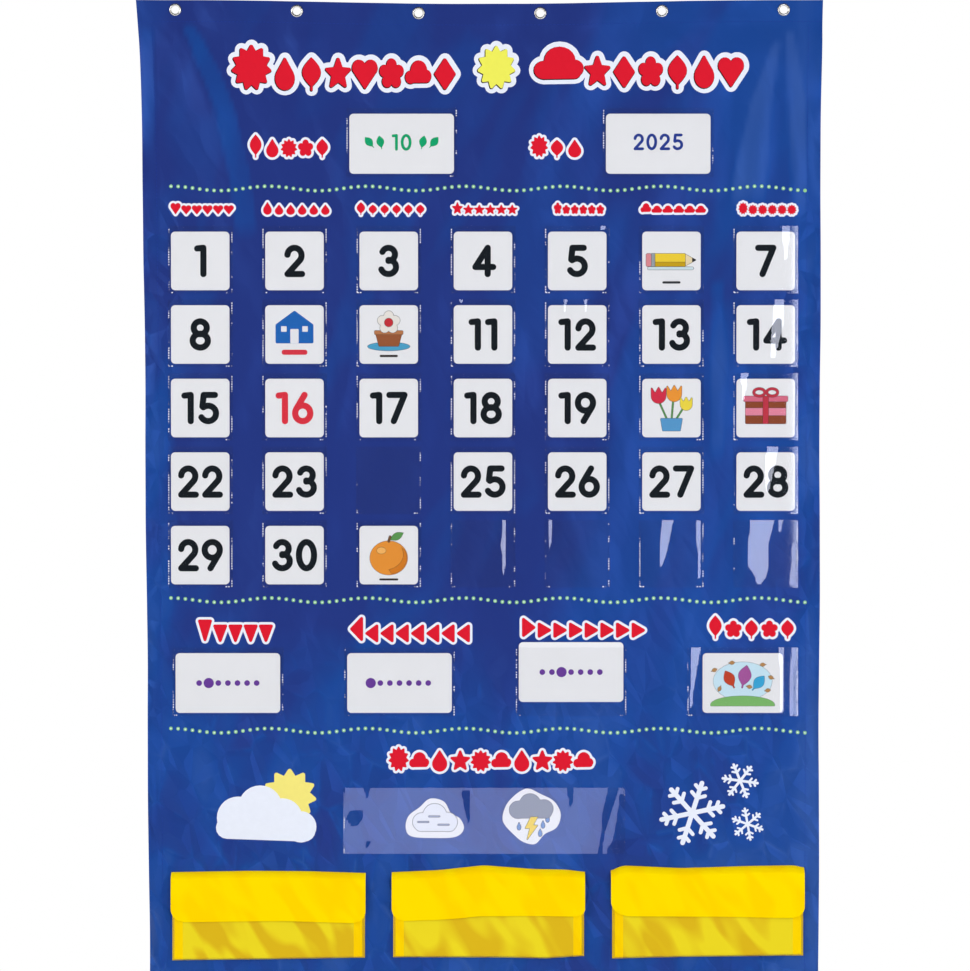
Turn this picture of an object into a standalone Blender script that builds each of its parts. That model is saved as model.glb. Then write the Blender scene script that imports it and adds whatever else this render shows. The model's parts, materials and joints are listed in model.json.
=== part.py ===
"""Calendar pocket chart: a blue hanging sheet that carries clear pockets for loose cards.

Metres, +Z up. X runs to the viewer's right and the chart's face looks along -Y. The origin lies
on the flat back of the sheet, midway between the two end eyelets, so the top edge stands a
little above it and the chart hangs below. Cards slide up out of their pockets along a plane
that leans forward, and the flaps of the storage pouches swing up about their top folds.
"""

import math

import bmesh
import bpy
from mathutils import Vector

# Cards
CARD_THICKNESS = 0.0004
CARD_CORNER_RADIUS = 0.0045
DATE_CARD_WIDTH = 0.0635
DATE_CARD_HEIGHT = 0.0635
WORD_CARD_WIDTH = 0.1135
WORD_CARD_HEIGHT = 0.0650
SEASON_CARD_WIDTH = 0.0870
CLOUD_PIECE_WIDTH = 0.0630
CLOUD_PIECE_HEIGHT = 0.0415
STORM_PIECE_WIDTH = 0.0620
STORM_PIECE_HEIGHT = 0.0610

# Clear film pockets
FILM_THICKNESS = 0.00025
SIDE_WELD_WIDTH = 0.0020
FOOT_WELD_WIDTH = 0.0020
FILM_RISE_RUN = 0.0010
CARD_SIDE_PLAY = 0.0005
CARD_FOOT_GAP = 0.0005
FILM_HEADROOM = 0.0062
SEAT_GAP = 0.0003
PASSING_CLEARANCE = 0.0010
WEATHER_FILM_WIDTH = 0.3060
WEATHER_FILM_HEIGHT = 0.0718

# Places of the pockets on the sheet
DATE_COLUMN_GAP = 0.03175
DATE_ROW_GAP = 0.0066
HEADER_DEPTH = 0.1175
WEEKDAY_BAND = 0.0532
DAY_HEADING_BAND = 0.0648
WEATHER_HEADING_BAND = 0.0776
POUCH_BAND = 0.0134
BOTTOM_MARGIN = 0.0410
DAY_ROW_INSET = 0.0025
DAY_ROW_SHIFT = 0.0025
MONTH_CENTRE_SHARE = 0.371
YEAR_CENTRE_SHARE = 0.778
WEATHER_CENTRE_SHARE = 0.502
CLOUD_CENTRE_SHARE = 0.325
STORM_CENTRE_SHARE = 0.670

# How far some cards stand up in their pockets
TOMORROW_CARD_LIFT = 0.0119
CLOUD_PIECE_LIFT = 0.0146
STORM_PIECE_LIFT = 0.0065

# Storage pouches and their flaps
POUCH_FILM_THICKNESS = 0.0004
POUCH_HEIGHT = 0.0980
POUCH_DEPTH = 0.0070
POUCH_GUSSET = 0.0060
POUCH_MOUTH_DROP = 0.0090
POUCH_GAP = 0.0283
POUCH_ROW_OVERHANG = 0.0005
POUCH_ROW_SHIFT = 0.0049
LEFT_POUCH_DROP = 0.0060
FLAP_LENGTH = 0.0545
FLAP_THICKNESS = 0.0004
FLAP_SIDE_OVERLAP = 0.0010
FLAP_CORNER_RADIUS = 0.0110

# Sheet
SHEET_THICKNESS = 0.0006
TOP_HEM_DEPTH = 0.0250
TOP_SAG = 0.0043
FLAT_BORDER = 0.0070
LEFT_MARGIN_TOP = 0.0282
LEFT_MARGIN_BOTTOM = 0.0195
LEFT_CORNER_PULL = 0.0065
RIGHT_MARGIN_TOP = 0.0250
RIGHT_MARGIN_BOTTOM = 0.0220
RIGHT_CORNER_PULL = 0.0021
CORNER_PULL_DEPTH = 0.0850
SIDE_CURL = 0.0040
SIDE_RIPPLE_LENGTH = 0.3100
FOLD_HEIGHT = 0.0042
FOLD_WIDTH = 0.0260
BOTTOM_CURL = 0.0030
EVEN_CURL_SHARE = 0.6

# Eyelets
EYELET_DROP = 0.0105
EYELET_END_INSET = 0.04265
EYELET_BORE_RADIUS = 0.00435
EYELET_WALL = 0.0005
EYELET_RIM_RADIUS = 0.00675
EYELET_DOME = 0.0011
DOME_SHOULDER_SHARE = 0.6
WASHER_THICKNESS = 0.0007
CUT_OVERRUN = 0.0020

# Counts
DATE_COLUMNS = 7
DATE_ROWS = 5
DAY_POCKETS = 4
LAST_DATE = 31
EMPTY_DATES = (24,)
EYELET_COUNT = 6
POUCH_COUNT = 3
CARD_CORNER_STEPS = 3
FLAP_CORNER_STEPS = 4
EYELET_STEPS = 16
HEADER_ROWS = 9
FIELD_ROWS = 9
OUTLINE_STEPS = 3

# Where the sheet's grid lines stand across the field; the middle is flat and needs few
SHEET_COLUMN_SHARES = (
    0.0, 0.035, 0.07, 0.105, 0.14, 0.175, 0.22, 0.32, 0.5,
    0.68, 0.78, 0.825, 0.86, 0.895, 0.93, 0.965, 1.0,
)

# Main folds that fan out below the end eyelets. Ends are across the field and down the free
# header, then come the width and height of each as shares of the fold sizes.
FOLD_SHARES = (
    ((0.020, 0.10), (0.125, 0.80), 1.0, 1.0),
    ((0.955, 0.10), (0.915, 0.95), 1.0, 0.9),
    ((0.985, 0.12), (1.000, 0.95), 0.8, 0.8),
    ((0.950, 0.12), (0.850, 0.42), 1.1, 0.5),
)

# Die-cut outlines of the weather pieces, across their width and up their height
CLOUD_OUTLINE_SHARES = (
    (0.10, 0.04), (0.50, 0.00), (0.86, 0.03), (1.00, 0.24), (0.93, 0.50),
    (0.78, 0.62), (0.66, 0.92), (0.42, 1.00), (0.24, 0.78), (0.05, 0.56), (0.00, 0.26),
)
STORM_OUTLINE_SHARES = (
    (0.20, 0.16), (0.36, 0.02), (0.58, 0.00), (0.72, 0.20), (0.93, 0.32), (1.00, 0.56),
    (0.88, 0.78), (0.66, 0.90), (0.42, 1.00), (0.20, 0.88), (0.04, 0.68), (0.00, 0.42),
)

# Pocket sizes that follow the cards
POCKET_SIDE = SIDE_WELD_WIDTH + FILM_RISE_RUN + CARD_SIDE_PLAY
POCKET_FOOT = FOOT_WELD_WIDTH + FILM_RISE_RUN + CARD_FOOT_GAP
DATE_POCKET_WIDTH = DATE_CARD_WIDTH + 2 * POCKET_SIDE
DATE_POCKET_HEIGHT = POCKET_FOOT + DATE_CARD_HEIGHT + FILM_HEADROOM
WORD_POCKET_WIDTH = max(WORD_CARD_WIDTH, SEASON_CARD_WIDTH) + 2 * POCKET_SIDE
WORD_POCKET_HEIGHT = POCKET_FOOT + WORD_CARD_HEIGHT + FILM_HEADROOM

# The date grid sets the field, and the field sets the sheet
DATE_COLUMN_PITCH = DATE_POCKET_WIDTH + DATE_COLUMN_GAP
DATE_ROW_PITCH = DATE_POCKET_HEIGHT + DATE_ROW_GAP
FIELD_WIDTH = DATE_COLUMNS * DATE_POCKET_WIDTH + (DATE_COLUMNS - 1) * DATE_COLUMN_GAP
TOP_WIDTH = LEFT_MARGIN_TOP + LEFT_CORNER_PULL + FIELD_WIDTH + RIGHT_MARGIN_TOP + RIGHT_CORNER_PULL
FIELD_LEFT = LEFT_MARGIN_TOP + LEFT_CORNER_PULL - TOP_WIDTH / 2
FIELD_RIGHT = FIELD_LEFT + FIELD_WIDTH
FIELD_CENTRE = (FIELD_LEFT + FIELD_RIGHT) / 2

# The end eyelets carry the sheet's top corners, and the rest share the width between them
EYELET_SPAN = TOP_WIDTH - 2 * EYELET_END_INSET
EYELET_PITCH = EYELET_SPAN / (EYELET_COUNT - 1)

# Depth of the film in front of the sheet, and the lean that lets one card pass the pocket above
CARD_BACK_DEPTH = SEAT_GAP
FILM_BACK_DEPTH = CARD_BACK_DEPTH + CARD_THICKNESS + SEAT_GAP
FILM_FRONT_DEPTH = FILM_BACK_DEPTH + FILM_THICKNESS
LEAN_SLOPE = (FILM_FRONT_DEPTH - CARD_BACK_DEPTH + PASSING_CLEARANCE) / DATE_ROW_PITCH
LEAN_ANGLE = math.atan(LEAN_SLOPE)

# Heights of the bands, from the top edge down
TOP_EDGE = EYELET_DROP
HEADER_POCKET_TOP = TOP_EDGE - HEADER_DEPTH
DATE_POCKET_TOP = HEADER_POCKET_TOP - WORD_POCKET_HEIGHT - WEEKDAY_BAND
DATE_GRID_BOTTOM = DATE_POCKET_TOP - DATE_ROWS * DATE_ROW_PITCH + DATE_ROW_GAP
DAY_POCKET_TOP = DATE_GRID_BOTTOM - DAY_HEADING_BAND
WEATHER_POCKET_TOP = DAY_POCKET_TOP - WORD_POCKET_HEIGHT - WEATHER_HEADING_BAND
POUCH_TOP = WEATHER_POCKET_TOP - WEATHER_FILM_HEIGHT - POUCH_BAND
BOTTOM_EDGE = POUCH_TOP - POUCH_HEIGHT - BOTTOM_MARGIN
FREE_HEADER_DEPTH = TOP_EDGE - DATE_POCKET_TOP

# Pouch sizes that follow the field
POUCH_ROW_WIDTH = FIELD_WIDTH + 2 * POUCH_ROW_OVERHANG
POUCH_WIDTH = (POUCH_ROW_WIDTH - (POUCH_COUNT - 1) * POUCH_GAP) / POUCH_COUNT
POUCH_DROPS = (LEFT_POUCH_DROP, 0, 0)
FLAP_HINGE_DEPTH = SEAT_GAP + POUCH_FILM_THICKNESS / 2
FLAP_HINGE_RISE = SEAT_GAP + 1.5 * FLAP_THICKNESS
FLAP_PANEL_DEPTH = SEAT_GAP + POUCH_DEPTH + SEAT_GAP


def depth_to_y(depth):
    """Give the Y of a point that stands this far in front of the flat sheet's face."""
    return -(SHEET_THICKNESS + depth)


def make_material(name, colour, roughness, metallic=0.0, alpha=1.0):
    """Make a plain Principled BSDF material."""
    material = bpy.data.materials.new(name)
    material.use_nodes = True
    shader = material.node_tree.nodes["Principled BSDF"]
    shader.inputs["Base Color"].default_value = (*colour, 1.0)
    shader.inputs["Roughness"].default_value = roughness
    shader.inputs["Metallic"].default_value = metallic
    shader.inputs["Alpha"].default_value = alpha
    return material


def make_object(name, data, material, collection, parent):
    """Link one named sub-part with its material under the chart's empty."""
    obj = bpy.data.objects.new(name, data)
    data.materials.append(material)
    collection.objects.link(obj)
    obj.parent = parent
    return obj


def mesh_from(bm, name):
    """Turn a bmesh into mesh data and free it."""
    mesh = bpy.data.meshes.new(name)
    bm.to_mesh(mesh)
    bm.free()
    return mesh


def mapped_grid(name, columns, rows, place):
    """Make an open grid surface whose points are placed by their column and row."""
    bm = bmesh.new()
    bmesh.ops.create_grid(bm, x_segments=columns, y_segments=rows, size=1.0)
    for vert in bm.verts:
        column = round((vert.co.x + 1) / 2 * columns)
        row = round((vert.co.y + 1) / 2 * rows)
        vert.co = place(column, row)
    return mesh_from(bm, name)


def thicken(obj, thickness, forward):
    """Give an open surface its thickness, in front of it or behind it."""
    modifier = obj.modifiers.new("Thickness", "SOLIDIFY")
    modifier.thickness = thickness
    modifier.offset = 1.0 if forward else -1.0
    modifier.use_even_offset = True
    return modifier


def smooth_step(share):
    """Ease from 0 to 1."""
    share = min(max(share, 0.0), 1.0)
    return share * share * (3 - 2 * share)


def top_sag(x):
    """Give how far the top edge hangs down between the end eyelets."""
    share = min(abs(x) / (EYELET_SPAN / 2), 1.0)
    return TOP_SAG * math.cos(share * math.pi / 2) ** 2


def sag_at(x, z):
    """Fade the sag out between the top edge and the first pockets."""
    fade = 1 - smooth_step((TOP_EDGE - z) / HEADER_DEPTH)
    return top_sag(x) * fade


def side_margin(z, at_top, at_bottom, corner_pull):
    """Give how far the sheet reaches past the field at one height."""
    depth = TOP_EDGE - z
    share = depth / (TOP_EDGE - BOTTOM_EDGE)
    pull = corner_pull * math.exp(-depth / CORNER_PULL_DEPTH)
    return at_top + (at_bottom - at_top) * share + pull


def sheet_left(z):
    """Give the sheet's left edge at one height."""
    return FIELD_LEFT - side_margin(z, LEFT_MARGIN_TOP, LEFT_MARGIN_BOTTOM, LEFT_CORNER_PULL)


def sheet_right(z):
    """Give the sheet's right edge at one height."""
    return FIELD_RIGHT + side_margin(z, RIGHT_MARGIN_TOP, RIGHT_MARGIN_BOTTOM, RIGHT_CORNER_PULL)


def side_curl(x, z):
    """Give the forward ripple of the free side margins, which is zero over the field."""
    left_reach = FIELD_LEFT - FLAT_BORDER - x
    right_reach = x - FIELD_RIGHT - FLAT_BORDER
    reach = max(left_reach, right_reach)
    if reach <= 0:
        return 0.0
    edge = FIELD_LEFT - sheet_left(z) if left_reach > 0 else sheet_right(z) - FIELD_RIGHT
    share = reach / (edge - FLAT_BORDER)
    phase = 0.0 if left_reach > 0 else math.pi / 2
    wave = math.sin(2 * math.pi * z / SIDE_RIPPLE_LENGTH + phase)
    below_hem = smooth_step((TOP_EDGE - TOP_HEM_DEPTH - z) / TOP_HEM_DEPTH)
    return SIDE_CURL * wave * share * share * below_hem


def header_place(shares):
    """Give the point at these shares of the field's width and of the free header's depth."""
    across, down = shares
    return Vector((FIELD_LEFT + across * FIELD_WIDTH, TOP_EDGE - down * FREE_HEADER_DEPTH))


def header_pocket_freedom(x, z):
    """Give 0 on and beside the month and year pockets, easing to 1 a fold's width away."""
    freedom = 1.0
    for centre_share in (MONTH_CENTRE_SHARE, YEAR_CENTRE_SHARE):
        aside = abs(x - FIELD_LEFT - centre_share * FIELD_WIDTH) - WORD_POCKET_WIDTH / 2
        above = z - HEADER_POCKET_TOP
        below = HEADER_POCKET_TOP - WORD_POCKET_HEIGHT - z
        distance = max(aside, above, below) - FLAT_BORDER
        freedom = min(freedom, smooth_step(distance / FOLD_WIDTH))
    return freedom


def fold_rise(x, z):
    """Give the forward rise of the folds that fan out below the end eyelets."""
    rise = 0.0
    for start_shares, end_shares, width_share, height_share in FOLD_SHARES:
        start = header_place(start_shares)
        end = header_place(end_shares)
        along = end - start
        from_start = Vector((x, z)) - start
        share = from_start.dot(along) / along.length_squared
        if not 0 < share < 1:
            continue
        aside = abs(along.x * from_start.y - along.y * from_start.x) / along.length
        spread = aside / (FOLD_WIDTH * width_share / 2)
        crest = FOLD_HEIGHT * height_share * math.sin(math.pi * share)
        rise += crest * math.exp(-spread * spread / 2)
    return rise * header_pocket_freedom(x, z)


def bottom_curl(x, z):
    """Give the gentle forward roll of the free bottom edge."""
    reach = POUCH_TOP - POUCH_HEIGHT - LEFT_POUCH_DROP - FLAT_BORDER - z
    if reach <= 0:
        return 0.0
    share = reach / (BOTTOM_MARGIN - LEFT_POUCH_DROP - FLAT_BORDER)
    wave = math.cos(2 * math.pi * x / (POUCH_WIDTH + POUCH_GAP))
    strength = EVEN_CURL_SHARE + (1 - EVEN_CURL_SHARE) * wave
    return BOTTOM_CURL * strength * share * share


def sheet_columns():
    """List the shares of the sheet's width at which grid columns stand, with its margins."""
    columns = [("left", 1.0), ("left", 0.5)]
    columns += [("field", share) for share in SHEET_COLUMN_SHARES]
    columns += [("right", 0.5), ("right", 1.0)]
    return columns


def sheet_rows():
    """List the heights at which grid rows stand, from the bottom up."""
    below_hem = TOP_EDGE - TOP_HEM_DEPTH
    field_bottom = POUCH_TOP - POUCH_HEIGHT - LEFT_POUCH_DROP - FLAT_BORDER
    header_pitch = (below_hem - DATE_POCKET_TOP) / HEADER_ROWS
    field_pitch = (DATE_POCKET_TOP - field_bottom) / FIELD_ROWS
    header = [below_hem - header_pitch * row for row in range(HEADER_ROWS)]
    field = [DATE_POCKET_TOP - field_pitch * row for row in range(FIELD_ROWS + 1)]
    heights = [TOP_EDGE] + header + field + [BOTTOM_EDGE]
    return heights[::-1]


def build_sheet(material, collection, cutters, parent):
    """Make the backing sheet with its main folds, and cut the eyelets' holes."""
    columns = sheet_columns()
    heights = sheet_rows()

    def place(column, row):
        """Place one point of the sheet's back face."""
        z = heights[row]
        side, share = columns[column]
        if side == "left":
            free = FIELD_LEFT - FLAT_BORDER - sheet_left(z)
            x = FIELD_LEFT - FLAT_BORDER - free * share
        elif side == "right":
            free = sheet_right(z) - FIELD_RIGHT - FLAT_BORDER
            x = FIELD_RIGHT + FLAT_BORDER + free * share
        else:
            x = FIELD_LEFT - FLAT_BORDER + (FIELD_WIDTH + 2 * FLAT_BORDER) * share
        forward = side_curl(x, z) + fold_rise(x, z) + bottom_curl(x, z)
        return Vector((x, -forward, z - sag_at(x, z)))

    mesh = mapped_grid("backing_sheet", len(columns) - 1, len(heights) - 1, place)
    sheet = make_object("backing_sheet", mesh, material, collection, parent)
    thicken(sheet, SHEET_THICKNESS, forward=True)
    for index in range(EYELET_COUNT):
        cutter = build_hole_cutter(index, cutters, parent)
        hole = sheet.modifiers.new("Eyelet hole", "BOOLEAN")
        hole.operation = "DIFFERENCE"
        hole.object = cutter


def eyelet_place(index):
    """Give the centre of one eyelet on the sheet's back face."""
    x = EYELET_PITCH * index - EYELET_SPAN / 2
    return Vector((x, 0, -sag_at(x, 0)))


def build_hole_cutter(index, cutters, parent):
    """Make the round cutter for one eyelet's hole."""
    radius = EYELET_BORE_RADIUS + EYELET_WALL + SEAT_GAP
    bm = bmesh.new()
    bmesh.ops.create_cone(
        bm, cap_ends=True, segments=EYELET_STEPS, radius1=radius, radius2=radius,
        depth=SHEET_THICKNESS + 2 * CUT_OVERRUN,
    )
    mesh = mesh_from(bm, "eyelet_hole_cutter")
    cutter = bpy.data.objects.new(f"eyelet_hole_cutter_{index + 1}", mesh)
    cutters.objects.link(cutter)
    cutter.parent = parent
    cutter.location = eyelet_place(index)
    cutter.rotation_euler = (math.pi / 2, 0, 0)
    cutter.hide_render = True
    cutter.display_type = "WIRE"
    return cutter


def eyelet_mesh():
    """Make the half section of a crimped eyelet; its axis is Z and its domed front is up."""
    barrel = EYELET_BORE_RADIUS + EYELET_WALL
    front = SHEET_THICKNESS + SEAT_GAP
    back = -SEAT_GAP
    outer = EYELET_RIM_RADIUS
    middle = (EYELET_BORE_RADIUS + EYELET_RIM_RADIUS) / 2
    section = (
        (middle, front + EYELET_DOME),
        (outer - EYELET_WALL, front + EYELET_DOME * DOME_SHOULDER_SHARE),
        (outer, front),
        (barrel, front),
        (barrel, back),
        (outer, back),
        (outer, back - WASHER_THICKNESS),
        (EYELET_BORE_RADIUS, back - WASHER_THICKNESS),
        (EYELET_BORE_RADIUS, front + EYELET_DOME * DOME_SHOULDER_SHARE),
    )
    bm = bmesh.new()
    verts = [bm.verts.new((radius, 0, height)) for radius, height in section]
    for index, vert in enumerate(verts):
        bm.edges.new((vert, verts[(index + 1) % len(verts)]))
    return mesh_from(bm, "eyelet")


def build_eyelets(material, collection, parent):
    """Turn the six eyelets, each crimped through the top hem."""
    mesh = eyelet_mesh()
    for index in range(EYELET_COUNT):
        eyelet = bpy.data.objects.new(f"eyelet_{index + 1}", mesh)
        if not mesh.materials:
            mesh.materials.append(material)
        collection.objects.link(eyelet)
        eyelet.parent = parent
        eyelet.location = eyelet_place(index)
        eyelet.rotation_euler = (math.pi / 2, 0, 0)
        turn = eyelet.modifiers.new("Turned section", "SCREW")
        turn.axis = "Z"
        turn.steps = EYELET_STEPS
        turn.render_steps = EYELET_STEPS
        turn.use_merge_vertices = True
        turn.merge_threshold = SEAT_GAP / 10
        turn.use_smooth_shade = False


def film_columns(pocket_lefts, pocket_width):
    """List where the film bends across a strip, and whether it stands off the sheet there."""
    columns = []
    for left in pocket_lefts:
        right = left + pocket_width
        columns.append((left, False))
        columns.append((left + SIDE_WELD_WIDTH, False))
        columns.append((left + SIDE_WELD_WIDTH + FILM_RISE_RUN, True))
        columns.append((right - SIDE_WELD_WIDTH - FILM_RISE_RUN, True))
        columns.append((right - SIDE_WELD_WIDTH, False))
        columns.append((right, False))
    return columns


def build_film(name, pocket_lefts, pocket_width, top, height, material, collection, parent):
    """Make a clear film strip that is welded to the sheet round each of its pockets."""
    columns = film_columns(pocket_lefts, pocket_width)
    foot = POCKET_FOOT - CARD_FOOT_GAP
    rises = (0, FOOT_WELD_WIDTH, foot, height)

    def place(column, row):
        """Place one point of the film's back face."""
        x, stands_off = columns[column]
        rise = rises[row]
        depth = SEAT_GAP
        if stands_off and rise >= foot:
            depth = FILM_BACK_DEPTH + (rise - foot) * LEAN_SLOPE
        return Vector((x, depth_to_y(depth), top - height + rise))

    mesh = mapped_grid(name, len(columns) - 1, len(rises) - 1, place)
    film = make_object(name, mesh, material, collection, parent)
    thicken(film, FILM_THICKNESS, forward=True)


def date_pocket_left(column):
    """Give the left edge of a date pocket."""
    return FIELD_LEFT + column * DATE_COLUMN_PITCH


def date_row_top(row):
    """Give the top edge of a row of date pockets."""
    return DATE_POCKET_TOP - row * DATE_ROW_PITCH


def header_pocket_left(centre_share):
    """Give the left edge of the month or year pocket."""
    return FIELD_LEFT + centre_share * FIELD_WIDTH - WORD_POCKET_WIDTH / 2


def day_pocket_lefts():
    """List the left edges of the four pockets in the row below the date grid."""
    first = FIELD_LEFT + DAY_ROW_INSET + DAY_ROW_SHIFT
    last = FIELD_RIGHT - DAY_ROW_INSET + DAY_ROW_SHIFT - WORD_POCKET_WIDTH
    pitch = (last - first) / (DAY_POCKETS - 1)
    return [first + pitch * index for index in range(DAY_POCKETS)]


def weather_pocket_left():
    """Give the left edge of the long weather pocket."""
    return FIELD_LEFT + WEATHER_CENTRE_SHARE * FIELD_WIDTH - WEATHER_FILM_WIDTH / 2


def build_films(material, collection, parent):
    """Make every clear pocket of the chart."""
    for row in range(DATE_ROWS):
        lefts = [date_pocket_left(column) for column in range(DATE_COLUMNS)]
        build_film(
            f"date_pocket_row_{row + 1}", lefts, DATE_POCKET_WIDTH, date_row_top(row),
            DATE_POCKET_HEIGHT, material, collection, parent,
        )
    for name, share in (("month_pocket", MONTH_CENTRE_SHARE), ("year_pocket", YEAR_CENTRE_SHARE)):
        build_film(
            name, [header_pocket_left(share)], WORD_POCKET_WIDTH, HEADER_POCKET_TOP,
            WORD_POCKET_HEIGHT, material, collection, parent,
        )
    build_film(
        "day_pocket_row", day_pocket_lefts(), WORD_POCKET_WIDTH, DAY_POCKET_TOP,
        WORD_POCKET_HEIGHT, material, collection, parent,
    )
    build_film(
        "weather_pocket", [weather_pocket_left()], WEATHER_FILM_WIDTH, WEATHER_POCKET_TOP,
        WEATHER_FILM_HEIGHT, material, collection, parent,
    )


def is_corner_edge(edge):
    """Tell whether an edge of the card runs through its thickness."""
    first, second = edge.verts
    return abs(first.co.y - second.co.y) > CARD_THICKNESS / 2


def card_mesh(name, width, height):
    """Make a thin card with round corners; its origin is the foot of its back face."""
    bm = bmesh.new()
    bmesh.ops.create_cube(bm, size=1.0)
    bmesh.ops.scale(bm, vec=(width, CARD_THICKNESS, height), verts=bm.verts)
    bmesh.ops.translate(bm, vec=(0, -CARD_THICKNESS / 2, height / 2), verts=bm.verts)
    corners = [edge for edge in bm.edges if is_corner_edge(edge)]
    bmesh.ops.bevel(
        bm, geom=corners, offset=CARD_CORNER_RADIUS, offset_type="OFFSET",
        segments=CARD_CORNER_STEPS, profile=0.5, affect="EDGES",
    )
    return mesh_from(bm, name)


def seat_card(card, centre_x, pocket_bottom, lift):
    """Stand a card on its leaning plane, this far up from the foot of its pocket."""
    slide_axis = Vector((0, -math.sin(LEAN_ANGLE), math.cos(LEAN_ANGLE)))
    foot = Vector((centre_x, depth_to_y(CARD_BACK_DEPTH), pocket_bottom + POCKET_FOOT))
    card.location = foot + slide_axis * lift
    card.rotation_euler.x += LEAN_ANGLE


def build_card(name, mesh, material, collection, parent, centre_x, pocket_bottom, lift=0.0):
    """Put one card into its pocket."""
    card = bpy.data.objects.new(name, mesh)
    if not mesh.materials:
        mesh.materials.append(material)
    collection.objects.link(card)
    card.parent = parent
    seat_card(card, centre_x, pocket_bottom, lift)


def build_date_cards(material, collection, parent):
    """Put a card into each date pocket that holds one."""
    mesh = card_mesh("date_card", DATE_CARD_WIDTH, DATE_CARD_HEIGHT)
    for date in range(1, LAST_DATE + 1):
        if date in EMPTY_DATES:
            continue
        row, column = divmod(date - 1, DATE_COLUMNS)
        centre_x = date_pocket_left(column) + DATE_POCKET_WIDTH / 2
        bottom = date_row_top(row) - DATE_POCKET_HEIGHT
        build_card(f"date_card_{date:02d}", mesh, material, collection, parent, centre_x, bottom)


def build_word_cards(material, collection, parent):
    """Put the month, year, day and season cards into their pockets."""
    mesh = card_mesh("word_card", WORD_CARD_WIDTH, WORD_CARD_HEIGHT)
    half_pocket = WORD_POCKET_WIDTH / 2
    header_bottom = HEADER_POCKET_TOP - WORD_POCKET_HEIGHT
    for name, share in (("month_card", MONTH_CENTRE_SHARE), ("year_card", YEAR_CENTRE_SHARE)):
        centre_x = header_pocket_left(share) + half_pocket
        build_card(name, mesh, material, collection, parent, centre_x, header_bottom)
    day_bottom = DAY_POCKET_TOP - WORD_POCKET_HEIGHT
    centres = [left + half_pocket for left in day_pocket_lefts()]
    build_card("today_card", mesh, material, collection, parent, centres[0], day_bottom)
    build_card("yesterday_card", mesh, material, collection, parent, centres[1], day_bottom)
    build_card(
        "tomorrow_card", mesh, material, collection, parent, centres[2], day_bottom,
        TOMORROW_CARD_LIFT,
    )
    season = card_mesh("season_card", SEASON_CARD_WIDTH, WORD_CARD_HEIGHT)
    build_card("season_card", season, material, collection, parent, centres[3], day_bottom)


def die_cut_curve(name, shares, width, height):
    """Make the closed outline of a die-cut piece as a filled flat curve."""
    curve = bpy.data.curves.new(name, "CURVE")
    curve.dimensions = "2D"
    curve.fill_mode = "BOTH"
    curve.extrude = CARD_THICKNESS / 2
    curve.resolution_u = OUTLINE_STEPS
    curve.render_resolution_u = 0
    spline = curve.splines.new("BEZIER")
    spline.bezier_points.add(len(shares) - 1)
    for point, (across, up) in zip(spline.bezier_points, shares):
        point.co = ((across - 0.5) * width, up * height, CARD_THICKNESS / 2)
        point.handle_left_type = "AUTO"
        point.handle_right_type = "AUTO"
    spline.use_cyclic_u = True
    return curve


def build_weather_pieces(material, collection, parent):
    """Stand the two die-cut pieces in the long weather pocket."""
    bottom = WEATHER_POCKET_TOP - WEATHER_FILM_HEIGHT
    pieces = (
        ("weather_cloud_piece", CLOUD_OUTLINE_SHARES, CLOUD_PIECE_WIDTH, CLOUD_PIECE_HEIGHT,
         CLOUD_CENTRE_SHARE, CLOUD_PIECE_LIFT),
        ("weather_storm_piece", STORM_OUTLINE_SHARES, STORM_PIECE_WIDTH, STORM_PIECE_HEIGHT,
         STORM_CENTRE_SHARE, STORM_PIECE_LIFT),
    )
    for name, shares, width, height, centre_share, lift in pieces:
        curve = die_cut_curve(name, shares, width, height)
        piece = make_object(name, curve, material, collection, parent)
        piece.rotation_euler.x = math.pi / 2
        centre_x = weather_pocket_left() + centre_share * WEATHER_FILM_WIDTH
        seat_card(piece, centre_x, bottom, lift)


def pouch_centre(index):
    """Give the middle of one storage pouch across the sheet."""
    pitch = POUCH_WIDTH + POUCH_GAP
    return FIELD_CENTRE + POUCH_ROW_SHIFT + (index - (POUCH_COUNT - 1) / 2) * pitch


def pouch_mesh():
    """Make the open pouch; its origin is the middle of its back panel's top edge."""
    bm = bmesh.new()
    bmesh.ops.create_cube(bm, size=1.0)
    top = [face for face in bm.faces if face.normal.z > 0.5]
    bmesh.ops.delete(bm, geom=top, context="FACES_ONLY")
    for vert in bm.verts:
        is_front = vert.co.y < 0
        is_top = vert.co.z > 0
        gusset = POUCH_GUSSET if is_front else 0
        x = math.copysign(POUCH_WIDTH / 2 - gusset, vert.co.x)
        y = -POUCH_DEPTH if is_front else 0
        z = 0 if is_top else gusset - POUCH_HEIGHT
        if is_front and is_top:
            z = -POUCH_MOUTH_DROP
        vert.co = (x, y, z)
    return mesh_from(bm, "storage_pouch")


def flap_rows():
    """List the flap's rows from its fold down, as depth, height and narrowing at each side."""
    half = FLAP_THICKNESS / 2
    lean = math.sqrt(0.5)
    slant = FLAP_PANEL_DEPTH - FLAP_HINGE_DEPTH
    rows = [(-half * lean, -half * lean, 0), (slant, -slant - 2 * half * lean, 0)]
    corner_top = -FLAP_LENGTH + FLAP_CORNER_RADIUS
    for step in range(FLAP_CORNER_STEPS + 1):
        angle = math.pi / 2 * step / FLAP_CORNER_STEPS
        height = corner_top - FLAP_CORNER_RADIUS * math.sin(angle)
        rows.append((slant, height, FLAP_CORNER_RADIUS * (1 - math.cos(angle))))
    return rows[::-1]


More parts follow.
